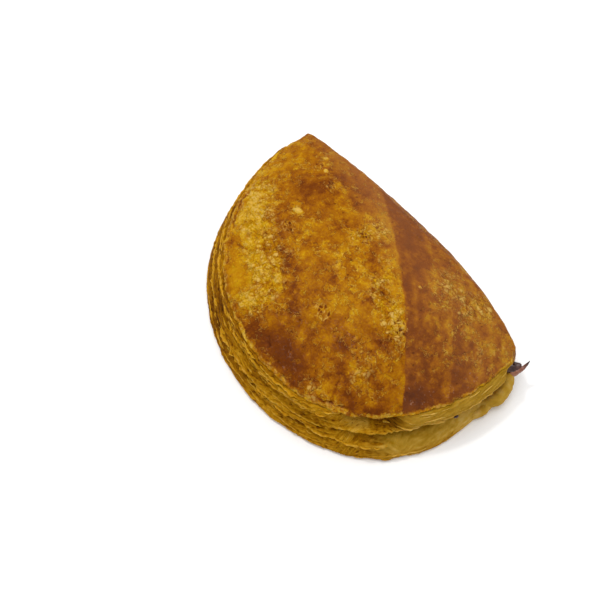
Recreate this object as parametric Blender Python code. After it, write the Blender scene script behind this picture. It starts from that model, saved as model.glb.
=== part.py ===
"""A baked half-moon hand pie of folded puff pastry, with the filling that leaked out at one corner.

The pie lies flat. The fold runs along X at the +Y side, the curved open edge faces -Y, and the burst end of
the edge, with the leak, is at +X. Sizes are millimetres, turned to metres where a point is placed.
"""
import math

import bmesh
import bpy
import numpy as np
from mathutils import Vector, noise

MM = 0.001

# Plan of the pie, seen from above
FOLD_LENGTH = 134.0
LID_WIDTH = 82.5
EDGE_SQUARENESS = 0.75
EDGE_SKEW = 0.108
FOLD_BULGE = 8.5
FOLD_BULGE_SKEW = 0.3
CORNER_ROUNDING = 2.2
FOLD_MIDDLE = (-1.5, 40.3)
CROWN = (2.0, -33.0)

# Heights above the floor
CROWN_HEIGHT = 36.0
LID_ROUNDNESS = 2.3
EDGE_HEIGHT = 21.6
FOLD_CORNER_HEIGHT = 22.0
FOLD_MIDDLE_HEIGHT = 28.5

# Section of the fold: where the lid turns over into it, and how deep its halves are against their height
FOLD_TOP_ANGLE = 62.0
FOLD_UPPER_ROUND = 0.85
FOLD_LOWER_ROUND = 0.5
FOLD_CORNER_SHARPNESS = 0.45

# The curved side where its layers hold together, top to bottom: height, and reach beyond the lid's edge
LAYERED_SIDE = [(EDGE_HEIGHT, 0.0), (19.9, 0.5), (18.0, -2.4), (16.2, 0.8), (14.0, 1.6),
                (12.0, -1.2), (10.2, 1.4), (8.4, 4.6), (6.6, 3.8), (4.2, 6.6), (1.6, 8.4), (0.0, 7.2)]
# The side where the layers burst apart and the pale inner dough bulged out
BURST_SIDE = [(EDGE_HEIGHT, 0.0), (19.7, 0.6), (18.2, -0.8), (16.8, 0.6), (15.0, 1.8),
              (13.2, -1.2), (11.6, -3.6), (9.8, 1.4), (7.6, 5.8), (4.8, 8.2), (2.0, 8.2), (0.0, 6.2)]
SIDE_STEPS = len(LAYERED_SIDE) - 1

# Places along the curved edge, as shares of its length from the far corner to the burst corner
LAYERS_START, LAYERS_END = 0.07, 0.97
BURST_FROM, BURST_WHOLE = 0.71, 0.79
GAP_FROM, GAP_TO, GAP_ENDS = 0.66, 0.80, 0.03
FRONT_PLACE, FRONT_SPREAD = 0.50, 0.16
RIGHT_FROM, RIGHT_WHOLE = 0.82, 0.94
EAR_PLACE, EAR_SPREAD = 0.945, 0.025

# How far the side's features reach in or out, and the profile steps where the gap and the ear lie
GAP_DEPTH, GAP_STEP, GAP_STEPS = 5.5, 2.2, 0.8
EAR_REACH, EAR_STEP, EAR_STEPS = 2.0, 9.0, 1.6
FRONT_NARROWING = 1.4
RIGHT_NARROWING = 2.2

# Relief: how high or deep it is, and the size of its lumps
LAYER_WANDER = (0.7, 17.0)
LAYER_SWELLS = (0.9, 9.0)
LAYER_CRAGS = (0.6, 5.0)
EDGE_WAVES = (0.5, 14.0)
LID_SWELLS = (1.1, 34.0)
LID_BLISTERS = (0.50, 14.0)
LID_CRAGS = (0.22, 7.0)
FILLING_LUMPS = (0.12, 4.0)

# The leaked filling: stations of its tongue from inside the pie to the burnt tip: x and y from the
# fold's middle, height, half width, half thickness
TONGUE = [(22.0, -26.0, 11.0, 5.0, 1.6), (42.0, -18.0, 10.5, 7.0, 2.4), (57.0, -9.5, 9.5, 5.5, 2.4),
          (65.0, -4.0, 8.0, 3.8, 2.9), (68.4, -1.4, 8.6, 3.0, 2.3), (69.8, 1.6, 11.4, 1.3, 0.8),
          (70.6, 3.6, 13.8, 0.4, 0.35)]
TONGUE_ROUND_END = 0.12
CUT_GAP = 0.3

# Mesh density
EDGE_PLACES = 80
FOLD_PLACES = 32
LID_RINGS = 18
RINGS_PER_STEP = 2
UNDERSIDE_RINGS = 2
LAST_RING = LID_RINGS + RINGS_PER_STEP * SIDE_STEPS + UNDERSIDE_RINGS + 1
TONGUE_SIDES = 20
TONGUE_RINGS = 26


def smooth_step(value, start, end):
    """0 at the start and 1 at the end, which may lie on either side of it."""
    share = min(max((value - start) / (end - start), 0.0), 1.0)
    return share * share * (3.0 - 2.0 * share)


def bell(value, middle, spread):
    return math.exp(-((value - middle) / spread) ** 2)


def relief(kind, place, height, seed):
    """Smooth bumps of a kind, given as how high they are and the size of their lumps."""
    tall, size = kind
    spot = Vector((place[0] / size, place[1] / size, height / size + 31.7 * seed))
    return tall * 1.6 * noise.noise(spot)


def lid_edge(turn):
    """The curved edge of the lid, from the far corner (turn 0) to the burst corner (turn pi)."""
    y = -LID_WIDTH * math.sin(turn) ** EDGE_SQUARENESS
    x = -FOLD_LENGTH / 2 * math.cos(turn) - EDGE_SKEW * y
    return x, y


def fold_edge(share):
    """The outermost line of the fold, from the burst corner back to the far corner."""
    across = 1.0 - 2.0 * share
    bulge = FOLD_BULGE * (1.0 + FOLD_BULGE_SKEW * across)
    return FOLD_LENGTH / 2 * across, bulge * (1.0 - across ** 2) ** 0.9


def evenly_spaced(points, count):
    """Points at equal distances along an open line, without its last end."""
    steps = np.hypot(*np.diff(points, axis=0).T)
    along = np.concatenate([[0.0], np.cumsum(steps)])
    wanted = np.linspace(0.0, along[-1], count, endpoint=False)
    return np.stack([np.interp(wanted, along, points[:, axis]) for axis in (0, 1)], axis=1)


def plan_outline():
    """The outline's places: plan points, with the share of the curved edge, or -1 to 0 on the fold."""
    fine = 40
    edge = np.array([lid_edge(turn) for turn in np.linspace(0.0, math.pi, 4001)])
    fold = np.array([fold_edge(share) for share in np.linspace(0.0, 1.0, 1001)])
    line = np.concatenate([evenly_spaced(edge, EDGE_PLACES * fine), evenly_spaced(fold, FOLD_PLACES * fine)])
    spacing = np.hypot(*(line[1] - line[0]))
    reach = round(CORNER_ROUNDING / spacing / 2.0)
    rounded = sum(np.roll(line, shift, axis=0) for shift in range(-reach, reach + 1)) / (2 * reach + 1)
    shares = np.concatenate([np.linspace(0.0, 1.0, EDGE_PLACES, endpoint=False),
                             np.linspace(-1.0, 0.0, FOLD_PLACES, endpoint=False)])
    return rounded[::fine], shares


def layered_weight(share):
    """1 where the side shows layers, 0 on the fold, with short changes at both corners."""
    if share < 0.0:
        return 0.0
    return smooth_step(share, 0.0, LAYERS_START) * smooth_step(share, 1.0, LAYERS_END)


def fold_fullness(share):
    """0 at both corners of the fold and 1 at its middle."""
    return max(1.0 - (2.0 * share + 1.0) ** 2, 0.0) if share < 0.0 else 0.0


def fold_side(share, step):
    """The rounded fold: height and reach at a step from 0, its top, to 1, the floor."""
    full = fold_fullness(share)
    half = (FOLD_CORNER_HEIGHT + (FOLD_MIDDLE_HEIGHT - FOLD_CORNER_HEIGHT) * full ** 0.7) / 2.0
    start = math.radians(FOLD_TOP_ANGLE)
    angle = start - (start + math.pi / 2.0) * step
    lift = math.sin(angle) / math.sin(start) if angle > 0.0 else math.sin(angle)
    depth = FOLD_UPPER_ROUND if angle > 0.0 else FOLD_LOWER_ROUND
    depth *= FOLD_CORNER_SHARPNESS + (1.0 - FOLD_CORNER_SHARPNESS) * full ** 0.5
    return max(half * (1.0 + lift), 0.0), depth * half * (math.cos(angle) - 1.0)


def edge_side(share, step, place):
    """The layered or burst side: height and reach at a step from 0, the lid's edge, to 1, the floor."""
    where = step * SIDE_STEPS
    burst = smooth_step(share, BURST_FROM, BURST_WHOLE)
    mixed = np.array(LAYERED_SIDE) * (1.0 - burst) + np.array(BURST_SIDE) * burst
    height, reach = (float(np.interp(where, range(SIDE_STEPS + 1), column)) for column in mixed.T)
    inner = math.sin(math.pi * step)
    height += inner * relief(LAYER_WANDER, place, height / 3.0, 1)
    reach += inner * relief(LAYER_SWELLS, place, height, 2)
    reach += inner * relief(LAYER_CRAGS, place, 2.0 * height, 3)
    gap = smooth_step(share, GAP_FROM, GAP_FROM + GAP_ENDS) * smooth_step(share, GAP_TO, GAP_TO - GAP_ENDS)
    reach -= GAP_DEPTH * gap * bell(where, GAP_STEP, GAP_STEPS)
    narrowing = FRONT_NARROWING * bell(share, FRONT_PLACE, FRONT_SPREAD)
    narrowing += RIGHT_NARROWING * smooth_step(share, RIGHT_FROM, RIGHT_WHOLE)
    reach -= narrowing * smooth_step(step, 0.5, 0.8)
    reach += EAR_REACH * bell(share, EAR_PLACE, EAR_SPREAD) * bell(where, EAR_STEP, EAR_STEPS)
    return max(height, 0.0), reach


def side_point(share, step, place):
    """Height and reach of the side, mixed from the fold's and the open edge's."""
    open_part = layered_weight(share)
    folded = fold_side(share, step)
    layered = edge_side(share, step, place)
    return tuple(open_part * a + (1.0 - open_part) * b for a, b in zip(layered, folded))


def lid_point(outer, rim_height, share):
    """A point of the lid at a share of the way from the crown to the rim."""
    place = np.array(CROWN) + (outer - np.array(CROWN)) * share
    height = rim_height + (CROWN_HEIGHT - rim_height) * (1.0 - share ** LID_ROUNDNESS)
    kinds = (LID_SWELLS, LID_BLISTERS, LID_CRAGS)
    bumps = sum(relief(kind, place, 0.0, 5 + seed) for seed, kind in enumerate(kinds))
    return place, height + bumps * (1.0 - share ** 6)


def outward(place):
    way = place - np.array(CROWN)
    return way / np.linalg.norm(way)


def crust_point(place, share, ring):
    """Plan place and height of the crust's vertex on one ring, counted from the crown down."""
    step = (ring - LID_RINGS) / (RINGS_PER_STEP * SIDE_STEPS)
    height, reach = side_point(share, min(max(step, 0.0), 1.0), place)
    edge_wave = relief(EDGE_WAVES, place, 0.0, 4)
    if step < 0.0:
        return lid_point(place + outward(place) * reach, height + edge_wave, ring / LID_RINGS)
    outer = place + outward(place) * reach
    if step <= 1.0:
        return outer, height + edge_wave * (1.0 - step) ** 4
    left = (LAST_RING - ring) / (UNDERSIDE_RINGS + 1)
    return np.array(CROWN) + (outer - np.array(CROWN)) * left, 0.0


def to_metres(place, height):
    return Vector(((place[0] + FOLD_MIDDLE[0]) * MM, (place[1] + FOLD_MIDDLE[1]) * MM, height * MM))


def new_object(name, mesh_maker, collection, material=None):
    mesh = bpy.data.meshes.new(name)
    shape = bmesh.new()
    mesh_maker(shape)
    shape.normal_update()
    bmesh.ops.recalc_face_normals(shape, faces=shape.faces)
    shape.to_mesh(mesh)
    shape.free()
    mesh.shade_smooth()
    piece = bpy.data.objects.new(name, mesh)
    collection.objects.link(piece)
    if material:
        mesh.materials.append(material)
    return piece


def ring_and_turn(vertex, rings, sides):
    """Which ring from the top pole and which side around a unit sphere's vertex is on."""
    ring = round(math.acos(max(-1.0, min(1.0, vertex.co.z))) / math.pi * rings)
    turn = round(math.atan2(vertex.co.y, vertex.co.x) / (2.0 * math.pi) * sides) % sides
    return ring, turn


def shape_crust(shape):
    """A sphere whose rings become the lid, the side and the underside, around the crown's upright axis."""
    places, shares = plan_outline()
    bmesh.ops.create_uvsphere(shape, u_segments=len(places), v_segments=LAST_RING, radius=1.0)
    for vertex in shape.verts:
        ring, turn = ring_and_turn(vertex, LAST_RING, len(places))
        vertex.co = to_metres(*crust_point(places[turn], float(shares[turn]), ring))


def smooth_path(stations, share):
    """A point of a Catmull-Rom curve through the stations."""
    last = len(stations) - 1
    start = min(int(share * last), last - 1)
    part = share * last - start
    nearest = [max(0, min(last, start + step)) for step in (-1, 0, 1, 2)]
    before, here, after, beyond = (np.array(stations[number]) for number in nearest)
    rise = 2.0 * before - 5.0 * here + 4.0 * after - beyond
    bend = 3.0 * here - before - 3.0 * after + beyond
    return 0.5 * (2.0 * here + (after - before) * part + rise * part ** 2 + bend * part ** 3)


def shape_tongue(shape, margin):
    """A flat tongue along the seam that thins to an upturned point."""
    bmesh.ops.create_uvsphere(shape, u_segments=TONGUE_SIDES, v_segments=TONGUE_RINGS, radius=1.0)
    for vertex in shape.verts:
        ring, turn = ring_and_turn(vertex, TONGUE_RINGS, TONGUE_SIDES)
        share = ring / TONGUE_RINGS
        x, y, height, half_width, half_thickness = smooth_path(TONGUE, share)
        ahead = smooth_path(TONGUE, min(share + 0.01, 1.0)) - smooth_path(TONGUE, max(share - 0.01, 0.0))
        along = Vector(ahead[:3]).normalized()
        across = along.cross(Vector((0.0, 0.0, 1.0))).normalized()
        over = across.cross(along)
        fullness = math.sqrt(1.0 - max(0.0, 1.0 - share / TONGUE_ROUND_END) ** 2)
        fullness = 0.0 if ring == TONGUE_RINGS else fullness
        angle = 2.0 * math.pi * turn / TONGUE_SIDES
        lumps = 1.0 + relief(FILLING_LUMPS, (x, y), height + 3.0 * math.sin(angle), 8)
        offset = across * math.cos(angle) * (half_width * lumps + margin)
        offset += over * math.sin(angle) * (half_thickness * lumps + margin)
        centre = Vector((x, y, height))
        if ring in (0, TONGUE_RINGS):
            centre += along * (margin if ring else -margin)
        point = centre + offset * fullness
        vertex.co = to_metres((point.x, point.y), point.z)


def baked_material(name, colour, roughness):
    material = bpy.data.materials.new(name)
    material.use_nodes = True
    shader = material.node_tree.nodes["Principled BSDF"]
    shader.inputs["Base Color"].default_value = (*colour, 1.0)
    shader.inputs["Roughness"].default_value = roughness
    shader.inputs["Metallic"].default_value = 0.0
    return material


def new_collection(name):
    collection = bpy.data.collections.new(name)
    bpy.context.scene.collection.children.link(collection)
    return collection


def cut(piece, cutter):
    cutter.hide_render = True
    cutter.display_type = "WIRE"
    difference = piece.modifiers.new("filling pocket", "BOOLEAN")
    difference.operation = "DIFFERENCE"
    difference.solver = "EXACT"
    difference.object = cutter


def main():
    for old in list(bpy.data.objects):
        bpy.data.objects.remove(old)
    pie = new_collection("hand_pie")
    cutters = new_collection("cutters")
    golden = baked_material("baked puff pastry", (0.50, 0.23, 0.03), 0.45)
    burnt = baked_material("burnt fruit filling", (0.035, 0.012, 0.018), 0.35)
    crust = new_object("crust", shape_crust, pie, golden)
    new_object("filling", lambda shape: shape_tongue(shape, 0.0), pie, burnt)
    pocket = new_object("filling_pocket", lambda shape: shape_tongue(shape, CUT_GAP), cutters)
    cut(crust, pocket)


main()
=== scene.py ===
"""The looks of a baked half-moon hand pie of folded puff pastry, around its fixed model.

Places are millimetres in the model's frame: X runs along the fold towards the burst corner, Y towards the
fold and Z up. They are turned to metres when a mesh is filled. The lid is a wide washed sheet that folds over
at the back. Under its front edge lie the puffed layers, thin loose sheets, a pale bulge where the edge
burst, a small flap of dough and the burnt filling that leaked out at the corner.
"""

import itertools
import math

import bpy
import numpy as np
from mathutils import Matrix, Vector, noise


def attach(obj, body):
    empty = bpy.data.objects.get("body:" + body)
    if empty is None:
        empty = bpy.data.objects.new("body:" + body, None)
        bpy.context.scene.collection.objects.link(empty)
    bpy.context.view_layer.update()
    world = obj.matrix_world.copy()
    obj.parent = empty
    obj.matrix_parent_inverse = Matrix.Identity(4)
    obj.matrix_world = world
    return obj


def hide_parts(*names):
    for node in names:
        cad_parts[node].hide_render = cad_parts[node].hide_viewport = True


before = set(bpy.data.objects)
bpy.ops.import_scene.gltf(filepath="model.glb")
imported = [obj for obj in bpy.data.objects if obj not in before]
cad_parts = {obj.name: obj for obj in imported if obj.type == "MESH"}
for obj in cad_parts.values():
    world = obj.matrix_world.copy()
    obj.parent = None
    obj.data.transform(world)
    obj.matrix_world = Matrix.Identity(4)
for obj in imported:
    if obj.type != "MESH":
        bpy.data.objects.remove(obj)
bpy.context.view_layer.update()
MM = 0.001
MERGE_DISTANCE = 1e-7

# Plan of the pie about the middle of its fold, as in the model
FOLD_MIDDLE = np.array([-1.5, 40.3])
CROWN = np.array([2.0, -33.0])
FOLD_LENGTH = 134.0
LID_WIDTH = 82.5
EDGE_SQUARENESS = 0.75
EDGE_SKEW = 0.108
EDGE_LENGTH = 241.0
FOLD_BULGE = 8.5
FOLD_BULGE_SKEW = 0.3
CORNER_ROUNDING = 2.2
LAYERS_START, LAYERS_END = 0.07, 0.97

# Heights and section of the lid and the fold
CROWN_HEIGHT = 36.0
LID_ROUNDNESS = 2.3
EDGE_HEIGHT = 21.6
FOLD_CORNER_HEIGHT = 22.0
FOLD_MIDDLE_HEIGHT = 28.5
FOLD_TOP_ANGLE = math.radians(62.0)
FOLD_UPPER_ROUND = 0.85
FOLD_LOWER_ROUND = 0.5
FOLD_CORNER_SHARPNESS = 0.45

# Profiles of the open edge, top to bottom: height above the floor, and reach beyond the lid's edge
LEFT_SIDE = [(EDGE_HEIGHT, 0.0), (20.4, 1.0), (18.8, 1.9), (17.0, 2.2), (15.0, 1.2), (13.0, 1.6),
             (10.8, 3.8), (9.0, 5.2), (7.2, 4.4), (4.5, 6.4), (1.5, 8.2), (0.0, 7.4)]
MIDDLE_SIDE = [(EDGE_HEIGHT, 0.0), (20.6, -3.0), (19.6, -7.5), (17.4, -6.5), (15.6, -0.5), (13.8, 4.2),
               (12.6, -0.5), (10.6, -0.5), (8.2, 6.0), (6.0, 6.2), (1.6, 8.4), (0.0, 7.4)]
BURST_SIDE = [(EDGE_HEIGHT, 0.0), (20.2, 0.9), (18.6, 2.0), (17.0, 3.0), (15.4, 3.5), (14.4, 0.5),
              (12.8, -4.5), (9.8, -4.0), (7.8, 1.2), (5.0, 4.8), (1.8, 6.4), (0.0, 6.0)]
LID_LIP = [(EDGE_HEIGHT, 0.0), (21.0, 0.55), (20.3, 0.45), (20.0, -0.5), (20.2, -4.0), (20.0, -9.0)]
MIDDLE_FROM, MIDDLE_WHOLE = 0.64, 0.71
BURST_FROM, BURST_WHOLE = 0.735, 0.785
FRONT_PLACE, FRONT_SPREAD, FRONT_NARROWING = 0.50, 0.16, 0.5
RIGHT_FROM, RIGHT_WHOLE, RIGHT_NARROWING = 0.82, 0.94, 2.2
DENT_PLACE, DENT_SPREAD, DENT_DEPTH = 0.77, 0.07, 1.8
TOE_PLACE, TOE_SPREAD, TOE_REACH = 0.795, 0.04, 1.5
CORNER_FROM, CORNER_WHOLE, CORNER_DEPTH = 0.945, 0.975, 3.2
LIP_PLACE, LIP_SPREAD, LIP_STEP, LIP_STEP_SPREAD = 0.765, 0.028, 0.40, 0.07
LIP_DROP, LIP_REACH = 1.5, 0.8

# How the photographed side is seen
CAMERA_AZIMUTH = math.radians(48.70)
CAMERA_ELEVATION = math.radians(61.79)
CAMERA_ROLL = math.radians(3.58)
CAMERA_DISTANCE = 389.0
CAMERA_LENS, CAMERA_SENSOR = 57.73, 36.0
CAMERA_NEAREST = 10.0 * MM
AIM_RIGHT, AIM_UP, AIM_HEIGHT = -13.55, -2.04, 15.0

# The lights: the room's strength, then where each lamp is in metres, its width and its power in watts
ROOM_LIGHT = 0.55
LAMPS = {"main softbox": ((-0.10, 0.06, 0.72), 0.80, 4.2), "small lamp": ((-0.32, -0.06, 0.74), 0.06, 1.2)}
LAMPS_AIM = (0.0, 0.0, 0.015)

# The long mark across the lid, where the colour steps from golden to brown. It runs where
# y + slope x = level - bend (x - start)^2, and the bands are distances beyond it towards the fold
MARK_SLOPE = 0.65
MARK_LEVEL = 29.9
MARK_BEND, MARK_BEND_START = 0.0027, 8.0
MARK_HALF_WIDTH = 0.25
LOWER_BAND = -43.0
UPPER_STEP = 20.0

# Random lumps, each as its height or amount, its size in mm and its seed
BROAD_WANDER = (0.5, 14.0, 4)
LID_SWELL = (1.1, 34.0, 5)
LID_WAVES = (0.5, 14.0, 6)
RIM_TEARS = ((0.50, 4.0, 41), (0.32, 1.7, 42))
RIM_FRINGE = ((0.35, 1.3, 46),)
RIM_WAVES = ((0.35, 6.0, 43),)
MARK_WOBBLE = ((0.5, 6.0, 11), (0.2, 1.6, 15))
LID_MOTTLE = ((0.05, 9.0, 12), (0.10, 4.6, 13), (0.05, 2.2, 14))
MOTTLE_PAST_MARK = ((0.13, 3.6, 17), (0.10, 1.6, 18))
FRAYED_BORDER = ((1.6, 9.0, 60), (1.5, 4.5, 61), (1.1, 2.0, 62))

# How brown the parts are, 0 pale to 1 burnt, and where the browning is held back
LID_BROWN, BROWN_PAST_MARK = 0.485, 0.11
PATCH_STRENGTH = 0.85
BURNT_FROM, BURNT_HELD_BACK = 0.70, 0.45
TORN_RIM_BROWN = 0.49
LAYERS_BROWN = 0.46
SHEETS_BROWN = 0.44
STRANDS_BROWN = 0.38

# Where the skins lie inside and under the pie
HIDDEN_TOP_HEIGHT = 17.0
UNDERSIDE_RISE = 0.25
LID_UNDER_HEIGHT = 0.3
FOLD_INSET, FOLD_INSET_FULL = 1.0, 2.5
FOLD_SHARE_OF_HEIGHT = 0.8

# How much each mark of the washed skin darkens it, and how far it stands up; the darker cut, chip cut, crack
# and prick are painted shade and the paler lip a painted highlight
MARK_SHADES = {"peeled": -0.09, "lip": -0.10, "chip": -0.10, "cut": 0.11, "chip cut": 0.06, "crack": 0.06,
               "prick": 0.14}
MARK_HEIGHTS = {"peeled": -0.35, "lip": 0.25, "lump": 0.45, "speckle": 0.35, "prick": -0.4}

# How finely each skin is divided, round the pie and from ring to ring
LID_EDGE_PLACES, LID_FOLD_PLACES = 460, 112
LID_RINGS, LIP_RINGS, LID_UNDER_RINGS = 132, 20, 4
HIDDEN_RINGS, SIDE_RINGS, BOTTOM_RINGS = 5, 92, 12
SIDE_TOP_STEP = 0.085

# Places on the lid where it baked darker or paler: x, y, half length, half width, turn in degrees, amount
BAKED_PATCHES = [
    (13, -35, 8, 4, 0, 0.38), (0, -36, 9, 4, 0, 0.20), (22, -33, 8, 4, -10, 0.12),
    (3, -25, 8, 4, -25, 0.14), (40, -26.5, 7, 3.0, -20, 0.32), (52, -21, 8, 2.2, 48, 0.32),
    (-4, -40, 9, 5, 0, 0.22), (22, -39, 6, 3, 0, 0.26), (20, -26, 12, 6, 0, 0.10),
    (-30, -34, 14, 3, -28, 0.10), (36, -4, 9, 6, -30, 0.08), (33, -3, 4, 4, 0, 0.06),
    (10, 33, 9, 5, -25, 0.12), (-33, 23, 5, 4, 0, 0.14), (28, -24, 5, 4, 0, 0.08),
    (17, 8, 4, 3, 0, 0.10), (22, -15, 6, 4, 0, 0.18), (-14, -12, 5, 4, -35, 0.14),
    (-37, 17, 8, 5, 0, 0.18), (-26, 32, 8, 4, 0, 0.14), (-38, 26, 5, 6, 0, 0.14),
    (-2, 36, 12, 4, -25, 0.10), (14, 25, 14, 4, -33, 0.08), (40, 4, 10, 5, -33, 0.08),
    (-30, 0, 10, 3, -20, 0.08), (-58, 36, 7, 4, 0, 0.08), (-26, -14, 8, 3, -30, 0.14),
    (-55, 10, 6, 4, 0, 0.10), (-25, 12, 4, 4, 0, 0.08), (-12, 13, 6, 4, -30, 0.08),
    (3, -2, 4, 6, 0, 0.08), (34, -3, 6, 4, -30, 0.16), (44, -16, 4, 4, 0, 0.12),
    (38, -16, 5, 4, 0, 0.12), (2, 37, 8, 5, -20, 0.16), (-36, -18, 4, 4, 0, 0.12),
    (-20, -12, 4, 4, 0, 0.10), (29, -35, 5, 3, 0, 0.12), (-10, 43, 9, 2.5, 0, 0.16),
    (63, 14, 3, 4, 0, 0.14),
]
BAKED_PAST_MARK = [
    (55.5, -7, 4, 8, -30, 0.52), (58, -16, 5, 3, 50, 0.20),
]
PALE_PATCHES = [
    (-20, -20, 12, 6, -30, 0.16), (-40, -14, 13, 8, -30, 0.12), (-53, 3, 9, 6, -30, 0.16),
    (45, 38, 8, 5, -30, 0.16), (-26, -29, 9, 4, -30, 0.20), (-14, -33, 4, 3, 0, 0.20),
    (2, 24, 12, 3.5, -33, 0.10), (-31, -7, 4, 3, 0, 0.10), (17, 12, 11, 5, -33, 0.10),
    (31, 3, 9, 5, -33, 0.06), (40, -6, 8, 4, -33, 0.06), (46, -11, 4, 5, -40, 0.10),
    (62, 20, 4, 7, 0, 0.07), (57, 33, 4, 4, 0, 0.16), (46, 24, 5, 5, 0, 0.20),
    (16, -6, 4.5, 4, 0, 0.20), (-49, -15, 4, 4, 0, 0.24), (-46, 24, 4, 4, 0, 0.08),
    (61, 4, 3, 5, 0, 0.12), (63, 36, 4, 5, 0, 0.16), (-8, 26, 5, 6, -30, 0.10), (-22, 2, 4, 3, 0, 0.08),
    (34, -31, 8, 4, 25, 0.14), (9, -22, 4, 3, 0, 0.12), (-42, 38, 7, 3, 0, 0.10),
    (28, 32, 8, 4, 0, 0.07), (-60, 10, 5, 10, 0, 0.22), (-12, 6, 9, 6, 0, 0.05),
    (-48, -2, 10, 6, -30, 0.12), (-12, -5, 5, 4, 0, 0.12), (7, 4, 4, 3, 0, 0.10),
    (40, 22, 8, 5, -30, 0.04),
]
# Where the skin flaked: a negative amount keeps it smooth
FLAKY_PATCHES = [
    (-20, -19, 12, 6, -30, 1.0), (-40, -9, 12, 6, -30, 0.6), (-53, 3, 9, 6, -30, 0.6),
    (-14, -33, 6, 3, 0, 1.0), (-6, 21, 6, 7, 0, 0.5), (18, 9, 9, 6, -33, 0.5), (32, 2, 8, 5, -33, 0.7),
    (44, 38, 6, 5, 0, 0.7), (38, -18, 6, 6, 0, 0.3), (-47, 27, 5, 5, 0, 0.2), (-33, 24, 3, 3, 0, 0.5),
    (30, 28, 8, 6, -30, 0.25), (33, -35, 8, 3, 20, 0.5), (2, 24, 12, 3, -33, 0.3),
    (0, 3, 12, 9, 0, 0.15), (-26, -29, 7, 3, -30, -0.6), (13, 24, 16, 4, -33, -0.3),
    (32, 12, 9, 4, -33, -0.3), (55, -8, 6, 8, -30, -0.2), (12, -34, 9, 5, 0, -0.3),
    (60, 10, 5, 6, 0, -0.2), (42, 30, 9, 6, -30, 0.38), (57, 24, 6, 6, 0, 0.30),
    (30, 34, 7, 4, -30, 0.35), (50, 14, 6, 4, -40, 0.20), (44, 8, 5, 4, 0, 0.10),
    (62, 34, 4, 6, 0, 0.40), (-38, 18, 7, 6, 0, -0.3), (-2, 38, 16, 5, -20, -0.4),
    (-32, 6, 4, 3, 0, 0.3),
]
# Groups of steam pits: x, y, half length, half width, turn
PIT_GROUPS = [
    (-5, 18, 5, 3, 20), (-33, 25, 4, 3, 0), (-7, 26, 4, 3, 0), (-45, 28, 3, 3, 0), (33, 4, 5, 3, -30),
    (-28, -1, 4, 3, 0), (44, 32, 4, 3, 0), (10, -15, 5, 3, 0),
]
# Single pale flakes that came loose
LOOSE_FLAKES = [
    (-32, 6, 2.4, 1.2, 25, 1.0), (-41, 28, 1.2, 1.0, 0, 1.0), (-47, 33, 1.6, 0.8, 60, 1.0),
    (25, 21, 0.9, 0.6, -20, 1.0),
]
# Long cracks in the lid: the start and end of each straight piece
LONG_CRACKS = [((34.0, -26.5), (35.6, -29.5)), ((35.6, -29.5), (38.8, -33.5)), ((3.0, -35.5), (6.0, -38.0)),
               ((-38.0, -20.0), (-33.0, -19.0)), ((-29.0, -13.5), (-25.5, -15.5))]
# Where the wash pooled and baked to a gloss
GLOSSY_PATCHES = [
    (13, -35, 8, 5, 0, 1.0), (22, -15, 6, 5, 0, 1.0), (55, -8, 5, 8, -30, 0.8), (4, -24, 7, 5, 0, 0.6),
    (42, -27, 7, 4, 0, 0.6), (34, -8, 6, 5, 0, 0.4), (62, 12, 4, 8, 0, 0.5),
]

# How wide the lid's torn yellow edge is, in mm, by share of the open edge
FRAYED_SHARES = [-1.0, 0.0, 0.05, 0.15, 0.30, 0.36, 0.58, 0.62, 0.67, 0.72, 0.80, 1.0]
FRAYED_WIDTHS = [0.0, 0.0, 1.5, 2.2, 2.2, 0.7, 0.8, 2.6, 2.6, 0.9, 0.4, 0.2]

# Open slits between the layers: share, half length, step, half height, tilt of the step
SLITS = [
    (0.630, 0.020, 0.565, 0.024, 0.7), (0.664, 0.009, 0.585, 0.015, 0.5),
    (0.690, 0.005, 0.520, 0.016, 0.0), (0.703, 0.004, 0.535, 0.014, 0.0),
    (0.600, 0.012, 0.560, 0.012, 0.9), (0.728, 0.014, 0.715, 0.006, 0.0),
    (0.545, 0.010, 0.300, 0.012, 0.5),
]

# Thin sheets that stand out of the edge: share from, share to, step down the left side, step down the
# middle and burst sides, reach out of the edge, droop
SHEETS = [
    (0.09, 0.30, 0.12, 0.12, 0.8, 0.2), (0.27, 0.50, 0.14, 0.12, 0.9, 0.3),
    (0.47, 0.72, 0.12, 0.11, 0.8, 0.2), (0.12, 0.38, 0.20, 0.18, 0.7, 0.0),
    (0.34, 0.60, 0.19, 0.18, 0.7, 0.2), (0.08, 0.26, 0.27, 0.26, 0.8, 0.3),
    (0.22, 0.46, 0.26, 0.27, 0.9, 0.4), (0.42, 0.62, 0.28, 0.25, 0.8, 0.3),
    (0.38, 0.66, 0.23, 0.30, 0.8, 0.3), (0.40, 0.80, 0.41, 0.36, 0.9, 0.5),
    (0.44, 0.84, 0.46, 0.385, 1.0, 0.9), (0.40, 0.66, 0.53, 0.55, 0.6, 0.3),
    (0.09, 0.34, 0.59, 0.60, 0.9, 0.4), (0.30, 0.60, 0.60, 0.62, 0.9, 0.3),
    (0.09, 0.36, 0.65, 0.64, 1.2, 0.6), (0.33, 0.742, 0.66, 0.735, 1.4, 0.7),
    (0.14, 0.40, 0.70, 0.70, 0.8, 0.4), (0.36, 0.725, 0.69, 0.77, 1.0, 0.5),
    (0.36, 0.66, 0.78, 0.83, 0.7, 0.2), (0.09, 0.44, 0.87, 0.86, 0.6, 0.2),
    (0.40, 0.80, 0.86, 0.88, 0.5, 0.2), (0.09, 0.86, 0.93, 0.93, 0.5, 0.1),
    (0.74, 0.90, 0.11, 0.12, 0.25, 0.1), (0.80, 0.965, 0.20, 0.18, 0.25, 0.1),
    (0.76, 0.86, 0.26, 0.28, 0.25, 0.1), (0.78, 0.96, 0.345, 0.34, 0.45, 0.3),
]
SHEET_THICKNESS = 0.32
SHEET_ROOT = 2.2
SHEET_LENGTH_STEP = 0.55
SHEET_ROWS = 7
LEAST_SHEET_COLUMNS = 24
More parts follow.
